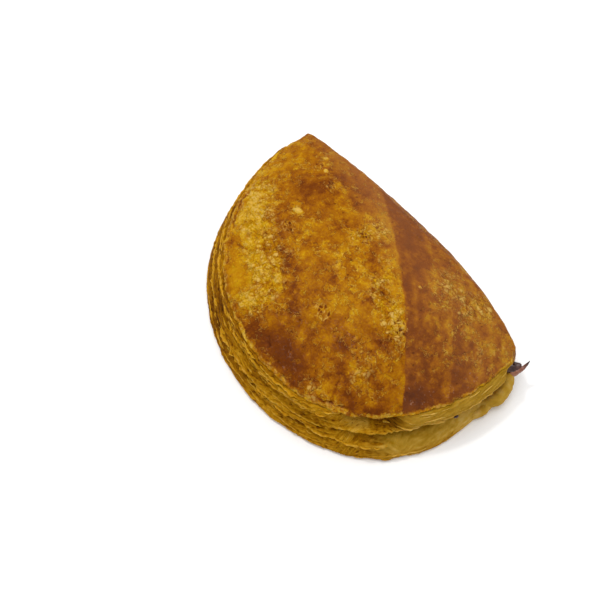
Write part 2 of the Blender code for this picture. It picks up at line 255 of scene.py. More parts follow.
LEAST_SHEET_HEIGHT = 0.15

# The leaked filling and its burnt point, the burnt flap beyond it, a speck of juice and the small flap of
# dough, each as stations of x, y, z, half width and half height
FILLING_LINE = [
    (22, 14.0, 11.0, 2.0, 1.0), (26, 16.5, 11.0, 4.5, 1.5), (42, 22.5, 10.5, 6.5, 2.2),
    (56, 30.0, 9.4, 5.0, 2.2), (62, 34.5, 8.6, 3.6, 2.8), (66.0, 38.2, 9.0, 2.8, 2.6),
    (67.6, 40.2, 10.2, 1.6, 1.5), (68.0, 41.0, 11.6, 0.6, 0.5),
]
BURNT_POINT = [
    (64.8, 37.6, 9.0, 1.2, 1.2), (66.2, 38.4, 10.6, 0.9, 0.9), (66.8, 38.9, 12.2, 0.35, 0.4),
]
FLAP_LINE = [
    (66.0, 33.8, 7.0, 1.2, 1.0), (67.8, 36.8, 8.2, 1.7, 1.6), (68.8, 39.4, 9.2, 1.3, 1.3),
    (69.4, 41.6, 10.8, 0.7, 0.7), (69.4, 43.0, 12.2, 0.35, 0.35), (69.3, 43.8, 13.6, 0.1, 0.1),
]
JUICE_LINE = [
    (68.2, 4.4, 11.7, 0.35, 0.35), (68.7, 5.3, 12.1, 0.6, 0.55), (68.8, 6.1, 12.4, 0.35, 0.3),
]
EAR_LINE = [
    (64.5, 37.0, 6.5, 1.0, 1.0), (68.0, 35.0, 6.4, 2.6, 3.4), (70.6, 31.0, 5.4, 2.9, 4.0),
    (71.4, 26.5, 4.6, 2.8, 3.9), (70.8, 22.5, 4.2, 2.2, 3.2), (68.5, 19.5, 4.0, 1.0, 1.6),
]
EAR_LOBE_LINE = [
    (67.5, 26.5, 3.4, 1.0, 1.0), (70.4, 22.5, 3.2, 2.4, 2.7), (71.2, 18.5, 2.7, 2.4, 2.4),
    (70.2, 14.5, 2.3, 1.8, 2.0), (68.0, 11.5, 2.0, 0.6, 0.9),
]
LEAST_STRAND_HEIGHT = 0.05


def smooth_step(value, start, end):
    """0 at the start and 1 at the end, which may lie on either side of it."""
    share = np.clip((value - start) / (end - start), 0.0, 1.0)
    return share * share * (3.0 - 2.0 * share)


def bell(value, middle, spread):
    """1 at the middle, falling smoothly to 0 on both sides."""
    return np.exp(-((value - middle) / spread) ** 2)


def hashed(lattice, seed):
    """Random numbers from 0 to 1 for whole-number lattice points, the same in every run."""
    x, y, z = (lattice[..., axis].astype(np.uint32) for axis in range(3))
    mixed = x * np.uint32(374761393) + y * np.uint32(668265263) + z * np.uint32(2246822519)
    mixed = mixed + np.uint32(seed * 40503 + 977)
    mixed = (mixed ^ (mixed >> np.uint32(13))) * np.uint32(1274126177)
    mixed = (mixed ^ (mixed >> np.uint32(15))) * np.uint32(2246822519)
    return (mixed ^ (mixed >> np.uint32(16))) / 4294967295.0


def bumps(points, size, seed, stretch=(1.0, 1.0, 1.0)):
    """Smooth noise, about -1 to 1, at points in millimetres, on lumps of the given size."""
    spots = points / (size * np.array(stretch)) + 0.37 * seed
    low = np.floor(spots).astype(np.int64)
    part = spots - low
    ease = part ** 3 * (part * (part * 6.0 - 15.0) + 10.0)
    total = np.zeros(points.shape[:-1])
    for corner in itertools.product((0, 1), repeat=3):
        near = np.prod(np.where(corner, ease, 1.0 - ease), axis=-1)
        for axis in range(3):
            lean = 2.0 * hashed(low + corner, 3 * seed + axis) - 1.0
            total += near * lean * (part[..., axis] - corner[axis])
    return 1.9 * total


def rough(points, lumps):
    """Noise of several sizes at once, from a table of height, size and seed."""
    return sum(height * bumps(points, size, seed) for height, size, seed in lumps)


def cells(points, size, seed, stretch=(1.0, 1.0, 1.0)):
    """Cracked cells: how near each point is to its cell's border, and the cell's number, both 0 to 1."""
    spots = points / (size * np.array(stretch)) + 0.37 * seed
    low = np.floor(spots).astype(np.int64)
    first = np.full(points.shape[:-1], 9.0)
    second, number = first.copy(), first.copy()
    for corner in itertools.product((-1, 0, 1), repeat=3):
        cell = low + corner
        centre = cell + np.stack([hashed(cell, 5 * seed + axis) for axis in range(3)], axis=-1)
        distance = np.linalg.norm(spots - centre, axis=-1)
        nearer = distance < first
        second = np.where(nearer, first, np.minimum(second, distance))
        number = np.where(nearer, hashed(cell, 5 * seed + 3), number)
        first = np.where(nearer, distance, first)
    return 1.0 - np.minimum((second - first) * 3.0, 1.0), number


def lid_edge(turn):
    """A place on the open edge about the fold's middle, from the left corner at 0 to the right at pi."""
    y = -LID_WIDTH * math.sin(turn) ** EDGE_SQUARENESS
    return -FOLD_LENGTH / 2 * math.cos(turn) - EDGE_SKEW * y, y


def fold_edge(share):
    """A place on the fold's line, from its right end at 0 to its left end at 1."""
    across = 1.0 - 2.0 * share
    bulge = FOLD_BULGE * (1.0 + FOLD_BULGE_SKEW * across)
    return FOLD_LENGTH / 2 * across, bulge * (1.0 - across ** 2) ** 0.9


def evenly_spaced(points, count):
    """The line through the points, divided into equal steps."""
    steps = np.hypot(*np.diff(points, axis=0).T)
    along = np.concatenate([[0.0], np.cumsum(steps)])
    wanted = np.linspace(0.0, along[-1], count, endpoint=False)
    return np.stack([np.interp(wanted, along, points[:, axis]) for axis in (0, 1)], axis=1)


def plan_outline(edge_places, fold_places):
    """The outline about the fold's middle, with the share of the open edge, or -1 to 0 on the fold."""
    edge = np.array([lid_edge(turn) for turn in np.linspace(0.0, math.pi, 4001)])
    fold = np.array([fold_edge(share) for share in np.linspace(0.0, 1.0, 1001)])
    fine = 8
    line = np.concatenate([evenly_spaced(edge, edge_places * fine), evenly_spaced(fold, fold_places * fine)])
    reach = max(1, round(CORNER_ROUNDING / np.hypot(*(line[1] - line[0])) / 2.0))
    rounded = sum(np.roll(line, shift, axis=0) for shift in range(-reach, reach + 1)) / (2 * reach + 1)
    shares = np.concatenate([np.linspace(0.0, 1.0, edge_places, endpoint=False),
                             np.linspace(-1.0, 0.0, fold_places, endpoint=False)])
    return rounded[::fine], shares


def open_weight(shares):
    """1 where the edge is open, 0 on the fold, with short changes at both corners."""
    weight = smooth_step(shares, 0.0, LAYERS_START) * smooth_step(shares, 1.0, LAYERS_END)
    return np.where(shares < 0.0, 0.0, weight)


def fold_fullness(shares):
    """1 at the fold's middle, 0 at its ends and along the open edge."""
    return np.where(shares < 0.0, np.clip(1.0 - (2.0 * shares + 1.0) ** 2, 0.0, 1.0), 0.0)


def fold_section(shares, steps):
    """Heights and reaches of the rounded fold, from its top at step 0 to the floor at step 1."""
    full = fold_fullness(shares)
    half = (FOLD_CORNER_HEIGHT + (FOLD_MIDDLE_HEIGHT - FOLD_CORNER_HEIGHT) * full ** 0.7) / 2.0
    angle = FOLD_TOP_ANGLE - (FOLD_TOP_ANGLE + math.pi / 2.0) * steps
    lift = np.where(angle > 0.0, np.sin(angle) / math.sin(FOLD_TOP_ANGLE), np.sin(angle))
    depth = np.where(angle > 0.0, FOLD_UPPER_ROUND, FOLD_LOWER_ROUND)
    depth = depth * (FOLD_CORNER_SHARPNESS + (1.0 - FOLD_CORNER_SHARPNESS) * full ** 0.5)
    return half * (1.0 + lift), depth * half * (np.cos(angle) - 1.0)


def along_profile(profile, steps):
    """Heights and reaches at the given steps down a profile."""
    levels = np.linspace(0.0, 1.0, len(profile))
    return [np.interp(steps, levels, column) for column in np.array(profile).T]


def edge_dent(shares):
    """The shallow dent of the lid's edge beside the burst."""
    return -DENT_DEPTH * bell(shares, DENT_PLACE, DENT_SPREAD)


def side_section(shares, steps):
    """Heights and reaches of the open edge's profile, mixed from its left, middle and burst stretches."""
    middle = smooth_step(shares, MIDDLE_FROM, MIDDLE_WHOLE)
    burst = smooth_step(shares, BURST_FROM, BURST_WHOLE)
    sides = [along_profile(side, steps) for side in (LEFT_SIDE, MIDDLE_SIDE, BURST_SIDE)]
    mixed = []
    for column in (0, 1):
        left, centre, torn = (side[column] for side in sides)
        mixed.append((left * (1.0 - middle) + centre * middle) * (1.0 - burst) + torn * burst)
    narrowing = FRONT_NARROWING * bell(shares, FRONT_PLACE, FRONT_SPREAD)
    narrowing = narrowing + RIGHT_NARROWING * smooth_step(shares, RIGHT_FROM, RIGHT_WHOLE)
    reach = mixed[1] - narrowing * smooth_step(steps, 0.5, 0.8)
    reach = reach + edge_dent(shares) * smooth_step(steps, 0.62, 0.42)
    reach = reach + TOE_REACH * bell(shares, TOE_PLACE, TOE_SPREAD) * smooth_step(steps, 0.6, 0.85)
    drop = bell(shares, LIP_PLACE, LIP_SPREAD) * bell(steps, LIP_STEP, LIP_STEP_SPREAD)
    corner = CORNER_DEPTH * smooth_step(shares, CORNER_FROM, CORNER_WHOLE)
    return mixed[0] - LIP_DROP * drop, reach + LIP_REACH * drop - corner * smooth_step(steps, 0.08, 0.3)


def outward(places):
    """Level unit ways from the crown out through each place."""
    way = places - CROWN
    return way / np.linalg.norm(way, axis=-1, keepdims=True)


def to_model(places, heights):
    """Points in the model's frame from places about the fold's middle."""
    return np.concatenate([places + FOLD_MIDDLE, heights[..., None]], axis=-1)


def model_relief(tall, size, seed, places):
    """The model's own broad relief, from the same noise, so that what replaces it keeps its form."""
    spots = places.reshape(-1, 2) / size
    values = [noise.noise(Vector((x, y, 31.7 * seed))) for x, y in spots]
    return tall * 1.6 * np.array(values).reshape(places.shape[:-1])


def table_normals(table):
    """Outward normals of a skin given as rings by turns."""
    down = np.gradient(table, axis=0)
    around = np.roll(table, -1, axis=1) - np.roll(table, 1, axis=1)
    normals = np.cross(down, around)
    length = np.linalg.norm(normals, axis=-1, keepdims=True)
    return normals / np.maximum(length, 1e-9)


def only(piece):
    """Selects one piece alone and makes it active."""
    bpy.ops.object.select_all(action="DESELECT")
    piece.select_set(True)
    bpy.context.view_layer.objects.active = piece


def apply_modifiers(piece):
    """Makes all of a piece's modifiers part of its mesh."""
    only(piece)
    for modifier in list(piece.modifiers):
        bpy.ops.object.modifier_apply(modifier=modifier.name)


def closed(values):
    """The table with its first turn repeated at the end, last ring first, as one flat list."""
    whole = np.concatenate([values, values[:, :1]], axis=1)[::-1]
    return whole.reshape(-1, *whole.shape[2:])


def add_grid(name, columns, rows):
    """A flat grid that is bent afterwards, and the row and column of each of its points."""
    bpy.ops.object.select_all(action="DESELECT")
    bpy.ops.mesh.primitive_grid_add(x_subdivisions=columns, y_subdivisions=rows, size=2.0)
    piece = bpy.context.object
    piece.name = name
    flat = np.empty(len(piece.data.vertices) * 3)
    piece.data.vertices.foreach_get("co", flat)
    column = np.rint((flat[0::3] + 1.0) / 2.0 * columns).astype(int)
    row = np.rint((flat[1::3] + 1.0) / 2.0 * rows).astype(int)
    return piece, row, column


def make_skin(name, table, **shades):
    """A grid rolled up into a closed skin: rows take a table's rings, and its seam and poles are merged."""
    rings, turns = table.shape[0] - 1, table.shape[1]
    piece, row, column = add_grid(name, turns, rings)
    order = row * (turns + 1) + column
    piece.data.vertices.foreach_set("co", (closed(table)[order] * MM).ravel())
    for shade_name, values in shades.items():
        write_attribute(piece, shade_name, closed(values)[order])
    piece.data.update()
    bpy.ops.object.mode_set(mode="EDIT")
    bpy.ops.mesh.select_all(action="SELECT")
    bpy.ops.mesh.remove_doubles(threshold=MERGE_DISTANCE)
    bpy.ops.object.mode_set(mode="OBJECT")
    bpy.ops.object.shade_smooth()
    return piece


def write_attribute(piece, name, values):
    """A number, or a place of three numbers, for each point."""
    if values.ndim == 1:
        attribute = piece.data.attributes.new(name, "FLOAT", "POINT")
        attribute.data.foreach_set("value", np.clip(values, 0.0, 1.0).astype(np.float32))
    else:
        attribute = piece.data.attributes.new(name, "FLOAT_VECTOR", "POINT")
        attribute.data.foreach_set("vector", values.astype(np.float32).ravel())


def dress(piece, material, node_name):
    """Gives a piece its material, attaches it to the root and hides the part of the model that it replaces.
    """
    piece.data.materials.clear()
    piece.data.materials.append(material)
    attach(piece, "root")
    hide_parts(node_name)
    return piece


def patches(points, groups):
    """The sum of soft oval patches, given in the model's frame."""
    total = np.zeros(points.shape[:-1])
    for x, y, half_length, half_width, turn, amount in groups:
        angle = math.radians(turn)
        east, north = points[..., 0] - x, points[..., 1] - y
        along = (east * math.cos(angle) + north * math.sin(angle)) / half_length
        across = (north * math.cos(angle) - east * math.sin(angle)) / half_width
        total += amount * np.exp(-(along ** 2 + across ** 2) * 0.8)
    return total


def near_lines(points, lines, half_width):
    """1 on the given straight lines, falling to 0 beside them."""
    nearest = np.full(points.shape[:-1], np.inf)
    for start, end in lines:
        way = np.subtract(end, start)
        share = np.clip(((points[..., :2] - start) @ way) / (way @ way), 0.0, 1.0)
        gap = points[..., :2] - start - share[..., None] * way
        nearest = np.minimum(nearest, np.linalg.norm(gap, axis=-1))
    return bell(nearest, 0.0, half_width)


def under_skin(last_ring, rings):
    """Places and inward shares of rings that close a skin, from its last ring to below the crown."""
    inner = np.linspace(1.0, 0.0, rings + 1)[1:, None]
    return CROWN + (last_ring - CROWN) * inner[..., None], inner


def lid_table():
    """The lid's skin: crown to rim, then a lip at the open edge or the fold at the back, then under."""
    places, shares = plan_outline(LID_EDGE_PLACES, LID_FOLD_PLACES)
    ways = outward(places)
    open_part = open_weight(shares)
    fold_height, fold_reach = fold_section(shares, np.zeros_like(shares))
    wander = model_relief(*BROAD_WANDER, places)
    edge_points = to_model(places, np.zeros_like(shares))
    ragged = rough(edge_points, RIM_TEARS) + edge_dent(shares)
    fringe = rough(edge_points, RIM_FRINGE)
    open_height = EDGE_HEIGHT + rough(edge_points, RIM_WAVES)
    rim_height = open_part * open_height + (1.0 - open_part) * fold_height + wander
    rim_places = places + ways * (open_part * (ragged + fringe) + (1.0 - open_part) * fold_reach)[:, None]
    inward = np.linspace(0.0, 1.0, LID_RINGS + 1)[:, None]
    lid_places = CROWN + (rim_places - CROWN) * inward[..., None]
    broad = model_relief(*LID_SWELL, lid_places) + model_relief(*LID_WAVES, lid_places)
    lid_heights = rim_height + (CROWN_HEIGHT - rim_height) * (1.0 - inward ** LID_ROUNDNESS)
    lid_heights = lid_heights + broad * (1.0 - inward ** 6)
    steps = np.linspace(0.0, 1.0, LIP_RINGS + 1)[1:, None]
    fold_height, fold_reach = fold_section(shares, steps)
    lip_height, lip_reach = along_profile(LID_LIP, steps)
    heights = open_part * lip_height + (1.0 - open_part) * fold_height + wander * (1.0 - steps) ** 2
    lip_reach = lip_reach + ragged + fringe * smooth_step(steps, 0.2, 0.0)
    reaches = open_part * lip_reach + (1.0 - open_part) * fold_reach
    side_places = places + ways * reaches[..., None]
    under_places, inner = under_skin(side_places[-1], LID_UNDER_RINGS)
    under_heights = LID_UNDER_HEIGHT + (heights[-1] - LID_UNDER_HEIGHT) * inner ** 0.3
    under_heights = np.where(shares < 0.0, LID_UNDER_HEIGHT, under_heights)
    return np.concatenate([to_model(lid_places, lid_heights), to_model(side_places, np.maximum(heights, 0.0)),
                           to_model(under_places, under_heights)])


def mark_distance(points):
    """How far a point lies beyond the straight mark across the lid, towards the fold."""
    wobble = rough(points * (1.0, 1.0, 0.0), MARK_WOBBLE)
    level = points[..., 1] + MARK_SLOPE * points[..., 0] - MARK_LEVEL
    level = level + MARK_BEND * (points[..., 0] - MARK_BEND_START) ** 2
    return level / math.hypot(1.0, MARK_SLOPE) + wobble


def past_mark(beyond):
    """0 in front of the mark and 1 behind it, with a short change."""
    return smooth_step(beyond, -MARK_HALF_WIDTH, MARK_HALF_WIDTH)


def mark_browning(points, beyond):
    """What the straight marks add: the long mark, the band in front of it and the step near the fold."""
    past = past_mark(beyond)
    brown = LID_BROWN + BROWN_PAST_MARK * past
    brown += 0.05 * bell(beyond, -8.0, 4.0) + 0.05 * past * bell(beyond, 1.5, 3.0)
    in_band = smooth_step(beyond, LOWER_BAND - 2.6, LOWER_BAND - 2.2)
    in_band = in_band * smooth_step(beyond, LOWER_BAND + 6.0, LOWER_BAND + 1.0)
    brown += 0.13 * in_band * smooth_step(points[..., 0], 12.0, -2.0)
    to_the_right = smooth_step(points[..., 0], 30.0, 48.0)
    past_step = smooth_step(beyond, UPPER_STEP - 0.3, UPPER_STEP + 0.3)
    past_step = past_step * smooth_step(beyond, UPPER_STEP + 10.0, UPPER_STEP + 2.0)
    brown += 0.16 * to_the_right * past_step - 0.05 * to_the_right * bell(beyond, UPPER_STEP - 1.5, 1.5)
    return brown - 0.06 * (1.0 - past) * bell(beyond, -1.0, 1.2)


def lid_browning(points, fine, calm):
    """How dark the lid baked, 0 pale to 1 burnt: the straight marks, the patches and uneven mottling."""
    beyond = mark_distance(points)
    past = past_mark(beyond)
    brown = mark_browning(points, beyond)
    brown += PATCH_STRENGTH * (patches(points, BAKED_PATCHES) - patches(points, PALE_PATCHES))
    brown += past * patches(points, BAKED_PAST_MARK)
    brown += (rough(points, LID_MOTTLE) - 0.12 * fine) * (1.0 - 0.35 * calm)
    # Strokes of the brush ran along the mark
    along = (points[..., 0] - MARK_SLOPE * points[..., 1]) / math.hypot(1.0, MARK_SLOPE)
    brushed = np.stack([along, beyond, np.zeros_like(beyond)], axis=-1)
    brown += (0.03 + 0.08 * past) * bumps(brushed, 3.0, 16, (5.0, 1.0, 1.0))
    brown += past * rough(points, MOTTLE_PAST_MARK)
    brown -= 0.04 * smooth_step(points[..., 1] + 0.3 * points[..., 0], 20.0, 50.0)
    brown += 0.04 * smooth_step(points[..., 1], 36.0, 43.0)
    return brown - BURNT_HELD_BACK * np.maximum(brown - BURNT_FROM, 0.0)


def frayed_edge(points):
    """1 where the lid's washed skin is torn off along its open edge, with a ragged inner border."""
    shares = plan_outline(LID_EDGE_PLACES, LID_FOLD_PLACES)[1]
    width = np.interp(shares, FRAYED_SHARES, FRAYED_WIDTHS)
    distance = np.linalg.norm(points[..., :2] - points[LID_RINGS, :, :2], axis=-1)
    distance[LID_RINGS:] = 0.0
    ragged = rough(points, FRAYED_BORDER)
    return smooth_step(distance + ragged * np.clip(0.5 * width, 0.0, 1.0), width + 0.3, width - 0.3), distance


def steam_pits(points):
    """Small pits in groups where steam came out of the lid, and their raised rims."""
    pitted = patches(points, [(*group, 1.0) for group in PIT_GROUPS])
    border, number = cells(points, 1.5, 27)
    burst = number > 0.35
    pits = smooth_step(pitted * (1.0 - border), 0.45, 0.8) * burst
    rims = smooth_step(pitted, 0.35, 0.6) * bell(border, 0.75, 0.25) * burst
    return pits, rims


def make_lid(material):
    """The washed lid with its blisters, flakes, pits, long cracks and torn rim."""
    points = lid_table()
    normals = table_normals(points)
    ring = np.indices(points.shape[:2])[0]
    frayed, from_rim = frayed_edge(points)
    beyond = mark_distance(points)
    past = past_mark(beyond)
    flaky = 0.32 - 0.08 * past + patches(points, FLAKY_PATCHES) + 0.22 * bumps(points, 6.0, 21)
    flaky = np.clip(flaky, 0.0, 1.0)
    very_flaky = smooth_step(flaky, 0.45, 0.8)
    blisters, knobs, grains = bumps(points, 8.0, 22), bumps(points, 3.4, 23), bumps(points, 1.5, 24)
    border, number = cells(points + 0.8 * bumps(points, 2.0, 25)[..., None], 2.3, 26)
    crack = smooth_step(border, 0.55, 1.0)
    pits, pit_rims = steam_pits(points)
    loose = smooth_step(patches(points, LOOSE_FLAKES), 0.40, 0.65)
    long_cracks = near_lines(points + 0.5 * bumps(points, 2.2, 30)[..., None], LONG_CRACKS, 0.45)
    # The torn rim shows the edges of its leaves
    leaf_places = np.stack([from_rim, from_rim, points[..., 2]], axis=-1)
    leaf_places = leaf_places + 0.5 * bumps(points, 3.0, 63)[..., None]
    leaf_edges = 1.0 - 2.0 * np.abs(bumps(leaf_places, 1.6, 64))
    lift = 0.22 * blisters + 0.17 * knobs + 0.05 * grains
    lift += very_flaky * (0.34 * (number - 0.5) + 0.24 * (1.0 - border ** 2) - 0.12 * crack)
    lift += 0.40 * loose - 0.45 * pits - 0.40 * frayed - 0.50 * long_cracks
    lift += frayed * (0.22 * leaf_edges + 0.18 * bumps(points, 1.8, 65))
    exposed = smooth_step(ring / LID_RINGS, 1.25, 1.0)
    moved = points + normals * (lift * exposed)[..., None]
    moved[..., 2] = np.maximum(moved[..., 2], 0.0)
    brown = lid_browning(points, 0.5 * blisters + 0.5 * knobs + 0.25 * grains, smooth_step(flaky, 0.30, 0.05))
    # Painted shade darkens the cracks, the long cracks and the steam pits
    brown += very_flaky * (0.06 * crack - 0.08) + 0.20 * long_cracks
    brown += 0.30 * pits - 0.10 * pit_rims - 0.45 * loose
    torn_brown = TORN_RIM_BROWN - 0.16 * leaf_edges
    torn_brown -= 0.14 * bumps(points, 2.4, 28) + 0.12 * bumps(points, 8.0, 29)
    torn_brown += 0.10 * bell(points[..., 0], 8.0, 14.0)
    flakes = very_flaky * smooth_step(number, 0.20, 0.45) * smooth_step(border, 0.85, 0.5)
    for pale in (0.5 * frayed * smooth_step(leaf_edges, 0.1, 0.6), pit_rims, loose):
        flakes = np.maximum(flakes, pale)
    # Rosier past the mark; towards the fold the rosy grey tone is a painted sheen
    sheen_toward_fold = smooth_step(points[..., 1] + 0.25 * points[..., 0], 14.0, 36.0)
    ruddy = past * (0.30 - 0.10 * smooth_step(beyond, 6.0, 16.0)) + (0.9 - 0.5 * past) * sheen_toward_fold
    piece = make_skin("lid", moved, browning=brown * (1.0 - frayed) + torn_brown * frayed,
                      flaky=flaky * (1.0 - frayed) + 0.5 * frayed, flakes=flakes,
                      gloss=patches(points, GLOSSY_PATCHES), ruddy=ruddy * (1.0 - frayed))
    return dress(piece, material, "crust")


def layers_table():
    """The skin of the puffed edge: hidden under the lid, down the open side, and across the underside."""
    places, shares = plan_outline(LID_EDGE_PLACES, LID_FOLD_PLACES)
    ways = outward(places)
    open_part = open_weight(shares)
    steps = np.linspace(SIDE_TOP_STEP, 1.0, SIDE_RINGS + 1)[:, None]
    open_height, open_reach = side_section(shares, steps)
    fold_height, fold_reach = fold_section(shares, steps)
    # The lid's own fold covers this skin at the back, so it stays inside that
    fold_height = FOLD_SHARE_OF_HEIGHT * fold_height
    fold_reach = fold_reach - FOLD_INSET - FOLD_INSET_FULL * fold_fullness(shares) ** 0.5
    wander = model_relief(*BROAD_WANDER, places)
    heights = open_part * open_height + (1.0 - open_part) * fold_height + wander * (1.0 - steps) ** 2
    reaches = open_part * open_reach + (1.0 - open_part) * fold_reach
    side_places = places + ways * reaches[..., None]
    hidden = np.linspace(0.0, 1.0, HIDDEN_RINGS + 1)[:-1, None]
    top_places = CROWN + (side_places[0] - CROWN) * hidden[..., None]
    top_heights = HIDDEN_TOP_HEIGHT + (heights[0] - HIDDEN_TOP_HEIGHT) * hidden ** 3
    under_places, inner = under_skin(side_places[-1], BOTTOM_RINGS)
    under_heights = UNDERSIDE_RISE * (1.0 - inner) * np.ones_like(shares)
    table = np.concatenate([to_model(top_places, top_heights),
                            to_model(side_places, np.maximum(heights, 0.0)),
                            to_model(under_places, under_heights)])
    return table, shares


def pit_zone(shares, steps):
    """Where steam left a honeycomb in the layers: high on the left, and in the groove above the base."""
    high = bell(shares, 0.53, 0.06) * bell(steps, 0.17, 0.07)
    groove = smooth_step(shares, 0.06, 0.2) * smooth_step(shares, 0.62, 0.45) * bell(steps, 0.75, 0.06)
    seam = smooth_step(shares, 0.3, 0.4) * smooth_step(shares, 0.66, 0.58) * bell(steps, 0.36, 0.05)
    return np.clip(high + 0.8 * groove + 0.6 * seam, 0.0, 1.0)


def slit_depth(shares, steps):
    """How far each place lies in an open slit, 0 to 1."""
    deepest = np.zeros_like(shares * steps)
    for share, half_length, step, half_height, tilt in SLITS:
        level = step + tilt * (shares - share)
        opened = bell(shares, share, half_length) * bell(steps, level, half_height)
        deepest = np.maximum(deepest, smooth_step(opened, 0.3, 0.75))
    return deepest


def unrolled(points, shares):
    """The skin laid flat: millimetres along the edge and down it, with the gentle waves of the layers."""
    down = np.cumsum(np.linalg.norm(np.diff(points, axis=0, prepend=points[:1]), axis=-1), axis=0)
    spread = np.stack([shares * EDGE_LENGTH, down, np.zeros_like(down)], axis=-1)
    waves = 0.9 * bumps(spread * (1.0, 0.3, 0.0), 13.0, 31)
    waves = waves + 0.25 * bumps(spread * (1.0, 0.5, 0.0), 3.5, 32)
    spread[..., 1] += waves
    return spread


def browning_by_place(shares, steps):
    """How much darker or paler the layers baked, along the edge and down it."""
    left = smooth_step(shares, 0.7, 0.6)
    brown = 0.23 * smooth_step(shares, 0.48, 0.38) - 0.04 * bell(shares, 0.57, 0.05)
    upper = 0.20 * bell(shares, 0.49, 0.07) - 0.08 * bell(shares, 0.63, 0.03)
    brown += upper * smooth_step(steps, 0.5, 0.3)
    brown += 0.10 * smooth_step(shares, 0.72, 0.80) * smooth_step(steps, 0.44, 0.40)
    # Painted shade in the gap over the bulge and along the seam that runs into it, and browner above the
    # bulge's left end
    gap_shade = smooth_step(shares, 0.76, 0.80) * smooth_step(shares, 0.97, 0.90)
    brown += 0.30 * gap_shade * bell(steps, 0.60, 0.10)
    brown += 0.14 * bell(shares, 0.765, 0.03) * smooth_step(steps, 0.2, 0.3) * smooth_step(steps, 0.46, 0.42)
    brown += 0.30 * smooth_step(shares, 0.68, 0.75) * bell(steps, 0.655, 0.05)
    # Browner low on the left side; painted shade in its two grooves, a painted highlight on the ridges beside
    # them; paler at the far left
    brown += 0.12 * bell(shares, 0.44, 0.06) * smooth_step(steps, 0.5, 0.65)
    brown += left * (0.14 * bell(steps, 0.75, 0.04) + 0.14 * bell(steps, 0.43, 0.06))
    brown -= left * (0.16 * bell(steps, 0.64, 0.035) + 0.08 * bell(steps, 0.22, 0.10))
    brown -= 0.10 * smooth_step(shares, 0.24, 0.14) * smooth_step(steps, 0.4, 0.2)
    # A pale bottom edge, and a browned underside
    return brown - 0.10 * bell(steps, 0.95, 0.02) + 0.25 * (steps > 0.995)


def make_layers(material):
    """The puffed layers of the open edge, with crumbs, steam holes and slits, and the smooth burst bulge."""
    points, edge_shares = layers_table()
    normals = table_normals(points)
    ring, turn = np.indices(points.shape[:2])
    shares = edge_shares[turn]
    steps = np.clip((ring - HIDDEN_RINGS) / SIDE_RINGS, 0.0, 1.0) * (1.0 - SIDE_TOP_STEP) + SIDE_TOP_STEP
    spread = unrolled(points, shares)
    # The parts of the skin: the open side, the bare bulge, the thin inner sheet and the band over the bulge
    on_side = smooth_step(ring, HIDDEN_RINGS, HIDDEN_RINGS + 3) * smooth_step(steps, 1.0, 0.985)
    bare = smooth_step(shares, BURST_FROM - 0.01, BURST_WHOLE) * smooth_step(steps, 0.42, 0.52)
    dough = smooth_step(shares, 0.70, BURST_FROM + 0.02) * smooth_step(steps, 0.42, 0.52)
    inner_sheet = smooth_step(shares, 0.64, 0.68) * smooth_step(shares, 0.78, 0.75)
    inner_sheet = inner_sheet * smooth_step(steps, 0.44, 0.38)
    upper_band = smooth_step(shares, 0.74, 0.80) * smooth_step(steps, 0.46, 0.42)
    lip = smooth_step(shares, 0.5, 0.68) * bell(steps, 0.45, 0.035)
    slits = slit_depth(shares, steps)
    border, number = cells(spread, 1.25, 36, (2.3, 1.0, 1.0))
    hole = pit_zone(shares, steps) * smooth_step(border, 0.75, 0.25) * (number > 0.3)
    # Leaves, wrinkles and crumbs, all longer along the edge than they are thick
    broad_layers = 1.0 - 2.6 * np.abs(bumps(spread, 1.7, 33, (7.0, 1.0, 1.0)))
    thin_layers = 1.0 - 2.6 * np.abs(bumps(spread, 0.7, 34, (9.0, 1.0, 1.0)))
    wrinkles = bumps(spread, 2.0, 35, (1.6, 0.8, 1.0))
    crumbs = bumps(spread, 1.3, 47, (1.5, 0.8, 1.0)) + 0.6 * bumps(spread, 0.8, 48, (1.4, 0.8, 1.0))
    creases = smooth_step(1.0 - 2.0 * np.abs(bumps(spread, 5.0, 37, (6.0, 1.0, 1.0))), 0.8, 1.0)
    gathered = 1.0 - 0.8 * inner_sheet - 0.5 * upper_band - 0.3 * smooth_step(shares, 0.50, 0.40)
    laid = (1.0 - bare) * on_side
    lift = laid * gathered * (0.20 * broad_layers + 0.06 * thin_layers + 0.16 * wrinkles + 0.34 * crumbs)
    lift -= 1.1 * hole * laid + 2.8 * slits * on_side
    swells = 0.25 * bumps(points, 9.0, 38) + 0.05 * bumps(points, 1.6, 39)
    lift += bare * on_side * (swells - 0.12 * creases)
    lift += 0.25 * (1.0 - on_side) * (steps > 0.99) * bumps(points, 5.0, 40)
    moved = points + normals * lift[..., None]
    moved[..., 2] = np.maximum(moved[..., 2], 0.0)
    brown = LAYERS_BROWN + 0.10 * bumps(points, 8.0, 44) + 0.08 * bumps(spread, 1.0, 45, (6.0, 1.0, 1.0))
    # Painted shade darkens the open slits and the steam holes
    brown += browning_by_place(shares, steps) + 0.40 * slits + 0.30 * hole - 0.16 * lip
    brown -= gathered * (0.06 * broad_layers + 0.02 * thin_layers + 0.14 * crumbs)
    brown += inner_sheet * (0.24 * smooth_step(shares, 0.712, 0.72) - 0.08)
    brown -= 0.16 * dough * smooth_step(shares, 0.80, 0.90)
    low = smooth_step(steps, 0.78, 0.97) * smooth_step(shares, 0.90, 0.84)
    pale_sheet = smooth_step(shares, 0.66, 0.695) * smooth_step(shares, 0.72, 0.715)
    pale = np.maximum(dough * (1.0 - 0.95 * low), 0.90 * upper_band)
    pale = np.maximum(pale, 0.45 * inner_sheet * pale_sheet)
    piece = make_skin("layers", moved, browning=brown, dough=pale, course=spread)
    return dress(piece, material, "crust")


